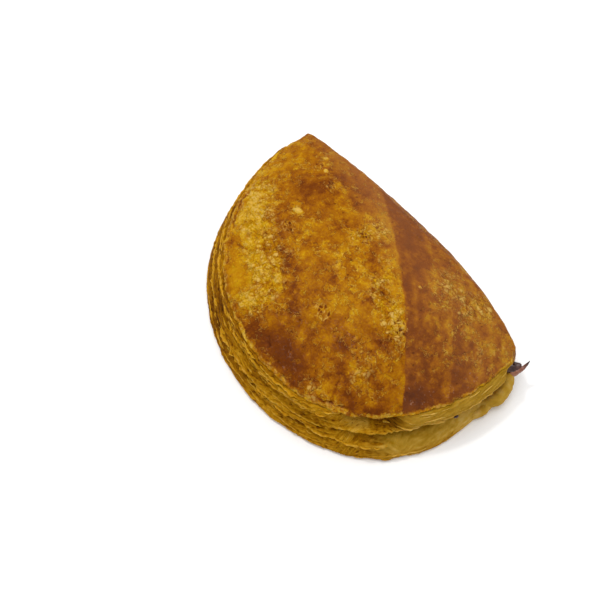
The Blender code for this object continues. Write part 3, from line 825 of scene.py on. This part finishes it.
def sheet_points(number, spec, along_count):
    """A thin sheet's points, and how far out and along the edge each lies."""
    first, last, start_step, end_step, reach_out, droop = spec
    shares = np.linspace(first, last, along_count)
    edge_places, edge_shares = plan_outline(LID_EDGE_PLACES, LID_FOLD_PLACES)
    edge_places, edge_shares = edge_places[:LID_EDGE_PLACES], edge_shares[:LID_EDGE_PLACES]
    places = np.stack([np.interp(shares, edge_shares, edge_places[:, axis]) for axis in (0, 1)], axis=-1)
    line = np.stack([shares * EDGE_LENGTH, np.zeros_like(shares), np.zeros_like(shares)], axis=-1)
    middle = smooth_step(shares, MIDDLE_FROM, MIDDLE_WHOLE)
    steps = start_step + (end_step - start_step) * middle + 0.022 * bumps(line, 14.0, 50 + number)
    height, reach = side_section(shares, steps)
    ends = smooth_step(shares, first, first + 0.02) * smooth_step(shares, last, last - 0.012)
    # Its outer edge is torn, and torn off altogether in places
    torn = 0.75 + rough(line, ((0.45, 6.0, 80 + number), (0.45, 2.0, 110 + number), (0.4, 1.1, 200 + number)))
    torn = torn * smooth_step(bumps(line, 9.0, 230 + number), -0.30, 0.05)
    out = reach_out * np.clip(torn, 0.0, 1.7) * ends
    across = np.linspace(0.0, 1.0, SHEET_ROWS)[:, None]
    wave = rough(line, ((0.60, 8.0, 140 + number), (0.40, 2.4, 170 + number)))
    reaches = reach - SHEET_ROOT + (SHEET_ROOT + out) * across
    heights = np.maximum(height + (wave - droop * ends) * across ** 2, LEAST_SHEET_HEIGHT)
    spots = places + outward(places) * reaches[..., None]
    return to_model(spots, heights), across * np.ones_like(shares), shares * np.ones_like(across)


def make_sheet(number, spec):
    """One torn sheet: a bent grid, pale along its outer edge, made solid by its thickness."""
    length = (spec[1] - spec[0]) * EDGE_LENGTH
    along_count = max(LEAST_SHEET_COLUMNS, round(length / SHEET_LENGTH_STEP))
    points, across, shares = sheet_points(number, spec, along_count)
    piece, row, column = add_grid("sheet %d" % number, along_count - 1, SHEET_ROWS - 1)
    points, shares, across = points[row, column], shares[row, column], across[row, column]
    piece.data.vertices.foreach_set("co", (points * MM).ravel())
    brown = SHEETS_BROWN - 0.30 * across ** 4 + 0.10 * bumps(points, 5.0, 60 + number)
    write_attribute(piece, "browning", brown)
    write_attribute(piece, "dough", 0.7 * smooth_step(shares, 0.73, 0.8))
    # Each sheet takes its own stretch of the layers' pattern
    down = 100.0 + 9.0 * number + 2.5 * across
    write_attribute(piece, "course", np.stack([shares * EDGE_LENGTH, down, np.zeros_like(down)], axis=-1))
    wall = piece.modifiers.new("sheet thickness", "SOLIDIFY")
    wall.thickness = SHEET_THICKNESS * MM
    wall.offset = 0.0
    apply_modifiers(piece)
    bpy.ops.object.shade_smooth_by_angle(angle=math.radians(50.0))
    return piece


def make_sheets(material):
    """All the thin sheets, joined in one piece."""
    made = [make_sheet(number, spec) for number, spec in enumerate(SHEETS)]
    bpy.ops.object.select_all(action="DESELECT")
    for piece in made:
        piece.select_set(True)
    bpy.context.view_layer.objects.active = made[0]
    bpy.ops.object.join()
    piece = bpy.context.object
    piece.name = "thin_sheets"
    return dress(piece, material, "crust")


def strand_table(stations, rings, turns, soften=6):
    """A closed strand through stations of x, y, z, half width and half height, with a point at each end."""
    stations = np.array(stations, dtype=float)
    along = np.concatenate([[0.0], np.cumsum(np.linalg.norm(np.diff(stations[:, :3], axis=0), axis=1))])
    wanted = np.linspace(0.0, along[-1], rings + 1)
    line = np.stack([np.interp(wanted, along, stations[:, column]) for column in range(5)], axis=1)
    for _ in range(soften):
        line[1:-1] = (line[:-2] + 2.0 * line[1:-1] + line[2:]) / 4.0
    line[0, 3:], line[-1, 3:] = 0.0, 0.0
    heading = np.gradient(line[:, :3], axis=0)
    heading /= np.linalg.norm(heading, axis=1, keepdims=True)
    side = np.cross(np.array([0.0, 0.0, 1.0]), heading)
    side /= np.linalg.norm(side, axis=1, keepdims=True)
    rise = np.cross(heading, side)
    angle = np.arange(turns) / turns * 2.0 * math.pi
    return (line[:, None, :3] + side[:, None] * (line[:, 3, None] * np.sin(angle))[..., None]
            + rise[:, None] * (line[:, 4, None] * np.cos(angle))[..., None])


def make_strand(name, line, rings, turns, seed, tall, size, material, node_name):
    """A closed strand with random lumps of the given height and size, smooth towards its two ends."""
    points = strand_table(line, rings, turns)
    normals = table_normals(points)
    along = np.indices(points.shape[:2])[0] / rings
    body = np.sin(np.clip(along, 0.0, 1.0) * math.pi) ** 0.5
    lift = tall * rough(points, ((1.0, size, seed), (0.5, size / 2.5, seed + 1))) * body
    moved = points + normals * lift[..., None]
    moved[..., 2] = np.maximum(moved[..., 2], LEAST_STRAND_HEIGHT)
    moved[0], moved[-1] = moved[0, 0], moved[-1, 0]
    brown = STRANDS_BROWN + 0.22 * bumps(points, 3.0, seed + 2)
    piece = make_skin(name, moved, along=along, browning=brown, dough=np.ones_like(along), course=points)
    return dress(piece, material, node_name)


def linear(hex_colour):
    """Linear colour and full alpha from an sRGB hex value."""
    parts = [int(hex_colour[place:place + 2], 16) / 255.0 for place in (1, 3, 5)]
    return [part / 12.92 if part <= 0.04045 else ((part + 0.055) / 1.055) ** 2.4 for part in parts] + [1.0]


def scale_for(millimetres):
    """The scale of a pattern on Object coordinates whose lumps or cells are this wide."""
    return 1.0 / (millimetres * MM)


def add_node(tree, kind, inputs=None, ramp=None, **settings):
    """A node with its settings, its inputs as values or links, and its colour stops. It gives its outputs."""
    node = tree.nodes.new("ShaderNode" + kind)
    for name, value in settings.items():
        setattr(node, name, value)
    for name, value in (inputs or {}).items():
        if isinstance(value, bpy.types.NodeSocket):
            tree.links.new(value, node.inputs[name])
        else:
            node.inputs[name].default_value = value
    for number, (place, colour) in enumerate(ramp or []):
        if number >= len(node.color_ramp.elements):
            node.color_ramp.elements.new(place)
        node.color_ramp.elements[number].position = place
        node.color_ramp.elements[number].color = linear(colour)
    return node.outputs


def start_material(name):
    """An empty material and its node tree."""
    material = bpy.data.materials.new(name)
    material.use_nodes = True
    material.node_tree.nodes.clear()
    return material, material.node_tree


def washed_marks(tree, place, flaky):
    """All that broke or marked the washed skin, and the painted glints on it, as named sockets from 0 to 1.
    """
    marks = {}
    # The pattern's place is pushed about by up to 0.8 mm, so that flakes have torn outlines
    push = add_node(tree, "TexNoise", {"Vector": place, "Scale": scale_for(2.381), "Detail": 1.0})["Color"]
    centred = add_node(tree, "VectorMath", {0: push, 1: (0.5, 0.5, 0.5)}, operation="SUBTRACT")[0]
    torn_place = add_node(tree, "VectorMath", {0: centred, 1: (0.003, 0.003, 0.003), 2: place},
                          operation="MULTIPLY_ADD")[0]
    # The skin peeled off in places 2 to 6 mm wide, and in small chips about 1 mm wide
    peel_noise = add_node(tree, "TexNoise", {"Vector": torn_place, "Scale": scale_for(4.348), "Detail": 3.5,
                                             "Roughness": 0.58})["Fac"]
    chip_noise = add_node(tree, "TexNoise", {"Vector": torn_place, "Scale": scale_for(1.923), "Detail": 2.0,
                                             "Roughness": 0.5})["Fac"]
    peel_level = add_node(tree, "Math", {0: flaky, 1: 0.28, 2: peel_noise}, operation="MULTIPLY_ADD")[0]
    chip_level = add_node(tree, "Math", {0: flaky, 1: 0.16, 2: chip_noise}, operation="MULTIPLY_ADD")[0]
    for name, level, start, end in (("peeled", peel_level, 0.655, 0.665), ("chip", chip_level, 0.675, 0.70)):
        marks[name] = add_node(tree, "MapRange", {"Value": level, "From Min": start, "From Max": end})[0]
    # Each flake has a torn lip inside a cut; the lip is paled as a painted highlight and the cut darkened as
    # painted shade
    broken = add_node(tree, "MapRange", {"Value": flaky, "From Min": 0.08, "From Max": 0.40})[0]
    borders = (("lip", peel_level, 0.672, 0.011), ("cut", peel_level, 0.648, 0.007),
               ("chip cut", chip_level, 0.664, 0.006))
    for name, level, middle, half_width in borders:
        border = add_node(tree, "Math", {0: level, 1: middle, 2: half_width}, operation="COMPARE")[0]
        marks[name] = add_node(tree, "Math", {0: border, 1: broken}, operation="MULTIPLY")[0]
    # Domed crumbs 1.9 mm across in the flaked places, with cracks between them
    crumb_cells = {"Vector": torn_place, "Scale": scale_for(1.923)}
    crumb_colour = add_node(tree, "TexVoronoi", crumb_cells)["Color"]
    crumb_number = add_node(tree, "SeparateColor", {0: crumb_colour})[0]
    gap = add_node(tree, "TexVoronoi", crumb_cells, feature="DISTANCE_TO_EDGE")["Distance"]
    very_flaky = add_node(tree, "MapRange", {"Value": flaky, "From Min": 0.45, "From Max": 0.8})[0]
    crack = add_node(tree, "MapRange", {"Value": gap, "From Min": 0.07, "From Max": 0.01})[0]
    marks["dome"] = add_node(tree, "MapRange", {"Value": gap, "From Min": 0.0, "From Max": 0.22})[0]
    marks["crack"] = add_node(tree, "Math", {0: crack, 1: very_flaky}, operation="MULTIPLY")[0]
    marks["lump"] = add_node(tree, "Math", {0: marks["dome"], 1: very_flaky}, operation="MULTIPLY")[0]
    marks["bare crumb"] = add_node(tree, "MapRange", {"Value": crumb_number, "From Min": 0.20,
                                                      "From Max": 0.50})[0]
    # Pinpricks 0.5 mm across where steam came out, in some of the cells 2.5 mm wide
    prick = add_node(tree, "TexVoronoi", {"Vector": place, "Scale": scale_for(2.5)})
    prick_number = add_node(tree, "SeparateColor", {0: prick["Color"]})[1]
    inside = add_node(tree, "MapRange", {"Value": prick["Distance"], "From Min": 0.16, "From Max": 0.10})[0]
    chosen = add_node(tree, "MapRange", {"Value": prick_number, "From Min": 0.62, "From Max": 0.64})[0]
    marks["prick"] = add_node(tree, "Math", {0: inside, 1: chosen}, operation="MULTIPLY")[0]
    marks["blotch"] = add_node(tree, "TexNoise", {"Vector": place, "Scale": scale_for(3.03), "Detail": 3.0,
                                                  "Roughness": 0.5})["Fac"]
    marks["speckle"] = add_node(tree, "TexNoise", {"Vector": place, "Scale": scale_for(0.7692), "Detail": 3.0,
                                                   "Roughness": 0.65})["Fac"]
    # Painted glints: small pale specks where both noises run high
    glint_patches = add_node(tree, "MapRange", {"Value": chip_noise, "From Min": 0.60, "From Max": 0.63})[0]
    glint_specks = add_node(tree, "MapRange", {"Value": marks["speckle"], "From Min": 0.50, "From Max": 0.56})[0]
    marks["film"] = add_node(tree, "Math", {0: glint_patches, 1: glint_specks}, operation="MULTIPLY")[0]
    return marks


def washed_colour(tree, marks, browning, flaky, flakes, gloss, ruddy):
    """Golden to dark brown by how far it baked, rosier past the mark and by the fold (there partly a painted
    sheen), pale where it is bare, with painted shade in cuts, cracks and pricks, painted highlights on lips
    and crumb tops, and painted glints.
    """
    shade = browning
    for name, least in (("blotch", 0.32), ("speckle", 0.34)):
        strength = add_node(tree, "Math", {0: flaky, 1: 0.4, 2: least}, operation="MULTIPLY_ADD")[0]
        centred = add_node(tree, "Math", {0: marks[name], 1: 0.5}, operation="SUBTRACT")[0]
        shade = add_node(tree, "Math", {0: centred, 1: strength, 2: shade}, operation="MULTIPLY_ADD")[0]
    # Painted shade in the cuts, cracks and pricks and a painted highlight on the lips; peeled places and
    # chips are paler bare layers
    for name, darker in MARK_SHADES.items():
        shade = add_node(tree, "Math", {0: marks[name], 1: darker, 2: shade}, operation="MULTIPLY_ADD")[0]
    golden = add_node(tree, "ValToRGB", {"Fac": shade}, ramp=[
        (0.0, "#CCA03C"), (0.14, "#BE900E"), (0.34, "#A87006"), (0.52, "#8E5206"), (0.70, "#6E3608"),
        (1.0, "#461C0E")])["Color"]
    # Bare dry crumb shows pale where a flake came off, palest on each crumb's dome as a painted highlight;
    # the torn lips get a painted highlight too
    picked = add_node(tree, "Math", {0: marks["bare crumb"], 1: flakes}, operation="MULTIPLY")[0]
    lit_crumb_tops = add_node(tree, "Math", {0: picked, 1: marks["dome"]}, operation="MULTIPLY")[0]
    bare_crumb_and_highlight = add_node(tree, "Math", {0: lit_crumb_tops, 1: 0.80}, operation="MULTIPLY")[0]
    lip_highlight = add_node(tree, "Math", {0: marks["lip"], 1: 0.26}, operation="MULTIPLY")[0]
    # Painted glints: pale rosy specks where the wash pooled, stronger by the fold as a painted sheen
    film = add_node(tree, "Math", {0: marks["film"], 1: gloss}, operation="MULTIPLY")[0]
    film_strength = add_node(tree, "Math", {0: ruddy, 1: 0.45, 2: 0.13}, operation="MULTIPLY_ADD")[0]
    # The rosy tone, partly a painted sheen by the fold, then pale bare crumb with painted highlights, then
    # the painted glints
    tones_and_painted_light = (
        ("#8E5834", add_node(tree, "Math", {0: ruddy, 1: 0.60}, operation="MULTIPLY")[0]),
        ("#C8A252", add_node(tree, "Math", {0: bare_crumb_and_highlight, 1: lip_highlight}, operation="MAXIMUM")[0]),
        ("#D8A88C", add_node(tree, "Math", {0: film, 1: film_strength}, operation="MULTIPLY")[0]),
    )
    colour = golden
    for over, cover in tones_and_painted_light:
        colour = add_node(tree, "Mix", {0: cover, 6: colour, 7: linear(over)}, data_type="RGBA")[2]
    return colour


def washed_pastry():
    """Egg-washed puff pastry, brushed and baked: mottled and a little glossy, and dry where it flaked, with
    painted glints, sheen, highlights and shade in its colour.
    """
    material, tree = start_material("egg-washed puff pastry")
    place = add_node(tree, "TexCoord")["Object"]
    browning, flaky, flakes, gloss, ruddy = (
        add_node(tree, "Attribute", attribute_name=name)["Fac"]
        for name in ("browning", "flaky", "flakes", "gloss", "ruddy"))
    marks = washed_marks(tree, place, flaky)
    relief = add_node(tree, "Math", {0: marks["blotch"], 1: 0.8}, operation="MULTIPLY")[0]
    for name, height in MARK_HEIGHTS.items():
        relief = add_node(tree, "Math", {0: marks[name], 1: height, 2: relief}, operation="MULTIPLY_ADD")[0]
    bump = add_node(tree, "Bump", {"Height": relief, "Strength": 1.0, "Distance": 0.6 * MM})["Normal"]
    # A thin even coat of wash, with brighter glints where it pooled
    bright = add_node(tree, "MapRange", {"Value": marks["speckle"], "From Min": 0.58, "From Max": 0.64})[0]
    pooled = add_node(tree, "Math", {0: gloss, 1: bright}, operation="MULTIPLY")[0]
    glints = add_node(tree, "Math", {0: pooled, 1: 0.6}, operation="MULTIPLY")[0]
    wash = add_node(tree, "Math", {0: glints, 1: 0.03}, operation="MAXIMUM")[0]
    shader = add_node(tree, "BsdfPrincipled", {
        "Base Color": washed_colour(tree, marks, browning, flaky, flakes, gloss, ruddy),
        "Roughness": 0.5, "IOR": 1.45, "Specular IOR Level": 0.02, "Subsurface Weight": 0.06,
        "Subsurface Scale": 1.5 * MM, "Subsurface Radius": (1.0, 0.45, 0.15), "Coat Roughness": 0.12,
        "Coat IOR": 1.45, "Coat Weight": wash, "Normal": bump, "Coat Normal": bump,
    })["BSDF"]
    add_node(tree, "OutputMaterial", {"Surface": shader})
    return material


def laminated_pastry():
    """Laminated puff pastry, torn open by steam: dry yellow layers, and pale waxy dough where it burst."""
    material, tree = start_material("laminated puff pastry edge")
    place = add_node(tree, "TexCoord")["Object"]
    browning = add_node(tree, "Attribute", attribute_name="browning")["Fac"]
    dough = add_node(tree, "Attribute", attribute_name="dough")["Fac"]
    course = add_node(tree, "Attribute", attribute_name="course")["Vector"]
    # Course is in millimetres along the edge and down it, so each pattern has its length and thickness
    sized = {}
    sizes = (("leaves", 4.0, 0.625), ("crumbs", 1.6667, 0.83333), ("holes", 2.381, 1.1765))
    for name, length, thickness in sizes:
        sized[name] = add_node(tree, "VectorMath", {0: course, 1: (1.0 / length, 1.0 / thickness, 1.0)},
                               operation="MULTIPLY")[0]
    leaves = add_node(tree, "TexNoise", {"Vector": sized["leaves"], "Scale": 1.0, "Detail": 4.0,
                                         "Roughness": 0.62, "Distortion": 0.4})["Fac"]
    crumbs = add_node(tree, "TexNoise", {"Vector": sized["crumbs"], "Scale": 1.0, "Detail": 5.0,
                                         "Roughness": 0.7, "Distortion": 0.8})["Fac"]
    # Steam left a hole inside about half of the cells; darkening them is painted shade
    hole = add_node(tree, "TexVoronoi", {"Vector": sized["holes"], "Scale": 1.0})
    hole_number = add_node(tree, "SeparateColor", {0: hole["Color"]})[0]
    inside = add_node(tree, "MapRange", {"Value": hole["Distance"], "From Min": 0.34, "From Max": 0.20})[0]
    chosen = add_node(tree, "MapRange", {"Value": hole_number, "From Min": 0.50, "From Max": 0.54})[0]
    holes = add_node(tree, "Math", {0: inside, 1: chosen}, operation="MULTIPLY")[0]
    mottle = add_node(tree, "TexNoise", {"Vector": place, "Scale": scale_for(1.6667), "Detail": 4.0,
                                         "Roughness": 0.6})["Fac"]
    # The bare dough is smoother and more even than the layers
    torn = add_node(tree, "MapRange", {"Value": dough, "To Min": 1.0, "To Max": 0.06})[0]
    uneven = add_node(tree, "MapRange", {"Value": dough, "To Min": 1.0, "To Max": 0.5})[0]
    layering = add_node(tree, "Math", {0: leaves, 1: 0.5, 2: crumbs}, operation="MULTIPLY_ADD")[0]
    layering_centred = add_node(tree, "Math", {0: layering, 1: 0.75}, operation="SUBTRACT")[0]
    mottle_centred = add_node(tree, "Math", {0: mottle, 1: 0.5}, operation="SUBTRACT")[0]
    torn_holes = add_node(tree, "Math", {0: holes, 1: torn}, operation="MULTIPLY")[0]
    baked = add_node(tree, "Math", {0: torn_holes, 1: 0.22, 2: browning}, operation="MULTIPLY_ADD")[0]
    for pattern, part, darker in ((layering_centred, torn, -0.95), (mottle_centred, uneven, 0.25)):
        kept = add_node(tree, "Math", {0: pattern, 1: part}, operation="MULTIPLY")[0]
        baked = add_node(tree, "Math", {0: kept, 1: darker, 2: baked}, operation="MULTIPLY_ADD")[0]
    layered = add_node(tree, "ValToRGB", {"Fac": baked}, ramp=[
        (0.0, "#D0A240"), (0.25, "#BA8614"), (0.5, "#9C6804"), (0.75, "#764604"), (1.0, "#462404")])["Color"]
    waxy = add_node(tree, "ValToRGB", {"Fac": baked}, ramp=[
        (0.0, "#D0AE62"), (0.4, "#B48C30"), (0.7, "#98700E"), (1.0, "#6C4806")])["Color"]
    colour = add_node(tree, "Mix", {0: dough, 6: layered, 7: waxy}, data_type="RGBA")[2]
    relief = add_node(tree, "Math", {0: layering, 1: torn, 2: mottle}, operation="MULTIPLY_ADD")[0]
    relief = add_node(tree, "Math", {0: torn_holes, 1: -0.8, 2: relief}, operation="MULTIPLY_ADD")[0]
    bump = add_node(tree, "Bump", {"Height": relief, "Strength": 0.9, "Distance": 0.4 * MM})["Normal"]
    shader = add_node(tree, "BsdfPrincipled", {
        "Base Color": colour, "Roughness": 0.6, "IOR": 1.45, "Specular IOR Level": 0.03, "Normal": bump,
        "Subsurface Weight": 0.12, "Subsurface Scale": 1.5 * MM, "Subsurface Radius": (1.0, 0.5, 0.15),
    })["BSDF"]
    add_node(tree, "OutputMaterial", {"Surface": shader})
    return material


def burnt_filling():
    """Fruit filling that boiled out and burnt to a dark sticky skin: near black plum with a wet gloss."""
    material, tree = start_material("burnt fruit filling")
    place = add_node(tree, "TexCoord")["Object"]
    mottle = add_node(tree, "TexNoise", {"Vector": place, "Scale": scale_for(1.6667), "Detail": 4.0})["Fac"]
    colour = add_node(tree, "ValToRGB", {"Fac": mottle}, ramp=[
        (0.3, "#22120F"), (0.55, "#4A2A22"), (0.75, "#6E4A3C")])["Color"]
    bump = add_node(tree, "Bump", {"Height": mottle, "Strength": 0.5, "Distance": 0.3 * MM})["Normal"]
    shader = add_node(tree, "BsdfPrincipled", {
        "Base Color": colour, "Normal": bump, "Roughness": 0.35, "IOR": 1.45, "Coat Weight": 0.3,
        "Coat Roughness": 0.2,
    })["BSDF"]
    add_node(tree, "OutputMaterial", {"Surface": shader})
    return material


def burnt_flap():
    """A drawn-out shred of syrup-soaked dough, baked hard: red brown, going black towards its point."""
    material, tree = start_material("syrup-soaked burnt dough")
    place = add_node(tree, "TexCoord")["Object"]
    along = add_node(tree, "Attribute", attribute_name="along")["Fac"]
    colour = add_node(tree, "ValToRGB", {"Fac": along}, ramp=[
        (0.0, "#B09060"), (0.3, "#A0684C"), (0.65, "#84503C"), (0.9, "#33201C")])["Color"]
    grain = add_node(tree, "TexNoise", {"Vector": place, "Scale": scale_for(1.1111), "Detail": 4.0})["Fac"]
    bump = add_node(tree, "Bump", {"Height": grain, "Strength": 0.5, "Distance": 0.2 * MM})["Normal"]
    shader = add_node(tree, "BsdfPrincipled", {
        "Base Color": colour, "Normal": bump, "Roughness": 0.4, "IOR": 1.45, "Coat Weight": 0.2,
        "Coat Roughness": 0.25,
    })["BSDF"]
    add_node(tree, "OutputMaterial", {"Surface": shader})
    return material


def studio_board():
    """Matt white board: a plain pale floor."""
    material, tree = start_material("matt white board")
    shader = add_node(tree, "BsdfPrincipled", {"Base Color": linear("#FAFAFA"), "Roughness": 0.9,
                                               "Specular IOR Level": 0.1})["BSDF"]
    add_node(tree, "OutputMaterial", {"Surface": shader})
    return material


def make_floor():
    """The board under the pie, which isn't part of it."""
    bpy.ops.object.select_all(action="DESELECT")
    bpy.ops.mesh.primitive_plane_add(size=4.0, location=(0.0, 0.0, 0.0))
    floor = bpy.context.object
    floor.name = "floor"
    floor.data.materials.append(studio_board())


def camera_axes():
    """The camera's right, up and back, from the angles that it looks from."""
    back = Vector((math.sin(CAMERA_AZIMUTH) * math.cos(CAMERA_ELEVATION),
                   -math.cos(CAMERA_AZIMUTH) * math.cos(CAMERA_ELEVATION), math.sin(CAMERA_ELEVATION)))
    level = Vector((0.0, 0.0, 1.0)).cross(back).normalized()
    rise = back.cross(level)
    right = math.cos(CAMERA_ROLL) * level + math.sin(CAMERA_ROLL) * rise
    up = math.cos(CAMERA_ROLL) * rise - math.sin(CAMERA_ROLL) * level
    return right, up, back


def add_camera():
    """The camera, aimed so that the pie lies in the frame as photographed."""
    right, up, back = camera_axes()
    aim = Vector((0.0, 0.0, AIM_HEIGHT)) + right * AIM_RIGHT + up * AIM_UP
    eye = (aim + back * CAMERA_DISTANCE) * MM
    data = bpy.data.cameras.new("camera")
    data.lens = CAMERA_LENS
    data.sensor_width = CAMERA_SENSOR
    data.clip_start = CAMERA_NEAREST
    camera = bpy.data.objects.new("camera", data)
    bpy.context.scene.collection.objects.link(camera)
    turned = Matrix((right, up, back)).transposed().to_4x4()
    camera.matrix_world = Matrix.Translation(eye) @ turned
    bpy.context.scene.camera = camera


def add_softbox(name, place, size, power):
    """A square soft light that faces the pie."""
    data = bpy.data.lights.new(name, "AREA")
    data.size = size
    data.energy = power
    light = bpy.data.objects.new(name, data)
    bpy.context.scene.collection.objects.link(light)
    aim = Vector(LAMPS_AIM) - Vector(place)
    light.location = place
    light.rotation_euler = aim.to_track_quat("-Z", "Y").to_euler()


def light_studio():
    """An even white room, a large soft light and a small lamp."""
    world = bpy.data.worlds.new("studio")
    world.use_nodes = True
    world.node_tree.nodes["Background"].inputs["Color"].default_value = linear("#FFFFFF")
    world.node_tree.nodes["Background"].inputs["Strength"].default_value = ROOM_LIGHT
    bpy.context.scene.world = world
    for name, (place, size, power) in LAMPS.items():
        add_softbox(name, place, size, power)
    bpy.context.scene.view_settings.view_transform = "Standard"


washed = washed_pastry()
laminated = laminated_pastry()
filling = burnt_filling()
flap = burnt_flap()
make_lid(washed)
make_layers(laminated)
make_sheets(laminated)
make_strand("leaked_filling", FILLING_LINE, 90, 40, 201, 0.35, 1.6, filling, "filling")
make_strand("burnt_point", BURNT_POINT, 24, 16, 205, 0.12, 0.8, filling, "filling")
make_strand("burnt_flap", FLAP_LINE, 70, 24, 208, 0.18, 1.2, flap, "filling")
make_strand("juice_speck", JUICE_LINE, 16, 12, 220, 0.05, 0.8, filling, "filling")
make_strand("small_flap", EAR_LINE, 70, 48, 212, 0.30, 4.0, laminated, "crust")
make_strand("small_flap_lobe", EAR_LOBE_LINE, 60, 40, 216, 0.25, 4.0, laminated, "crust")
make_floor()
add_camera()
light_studio()
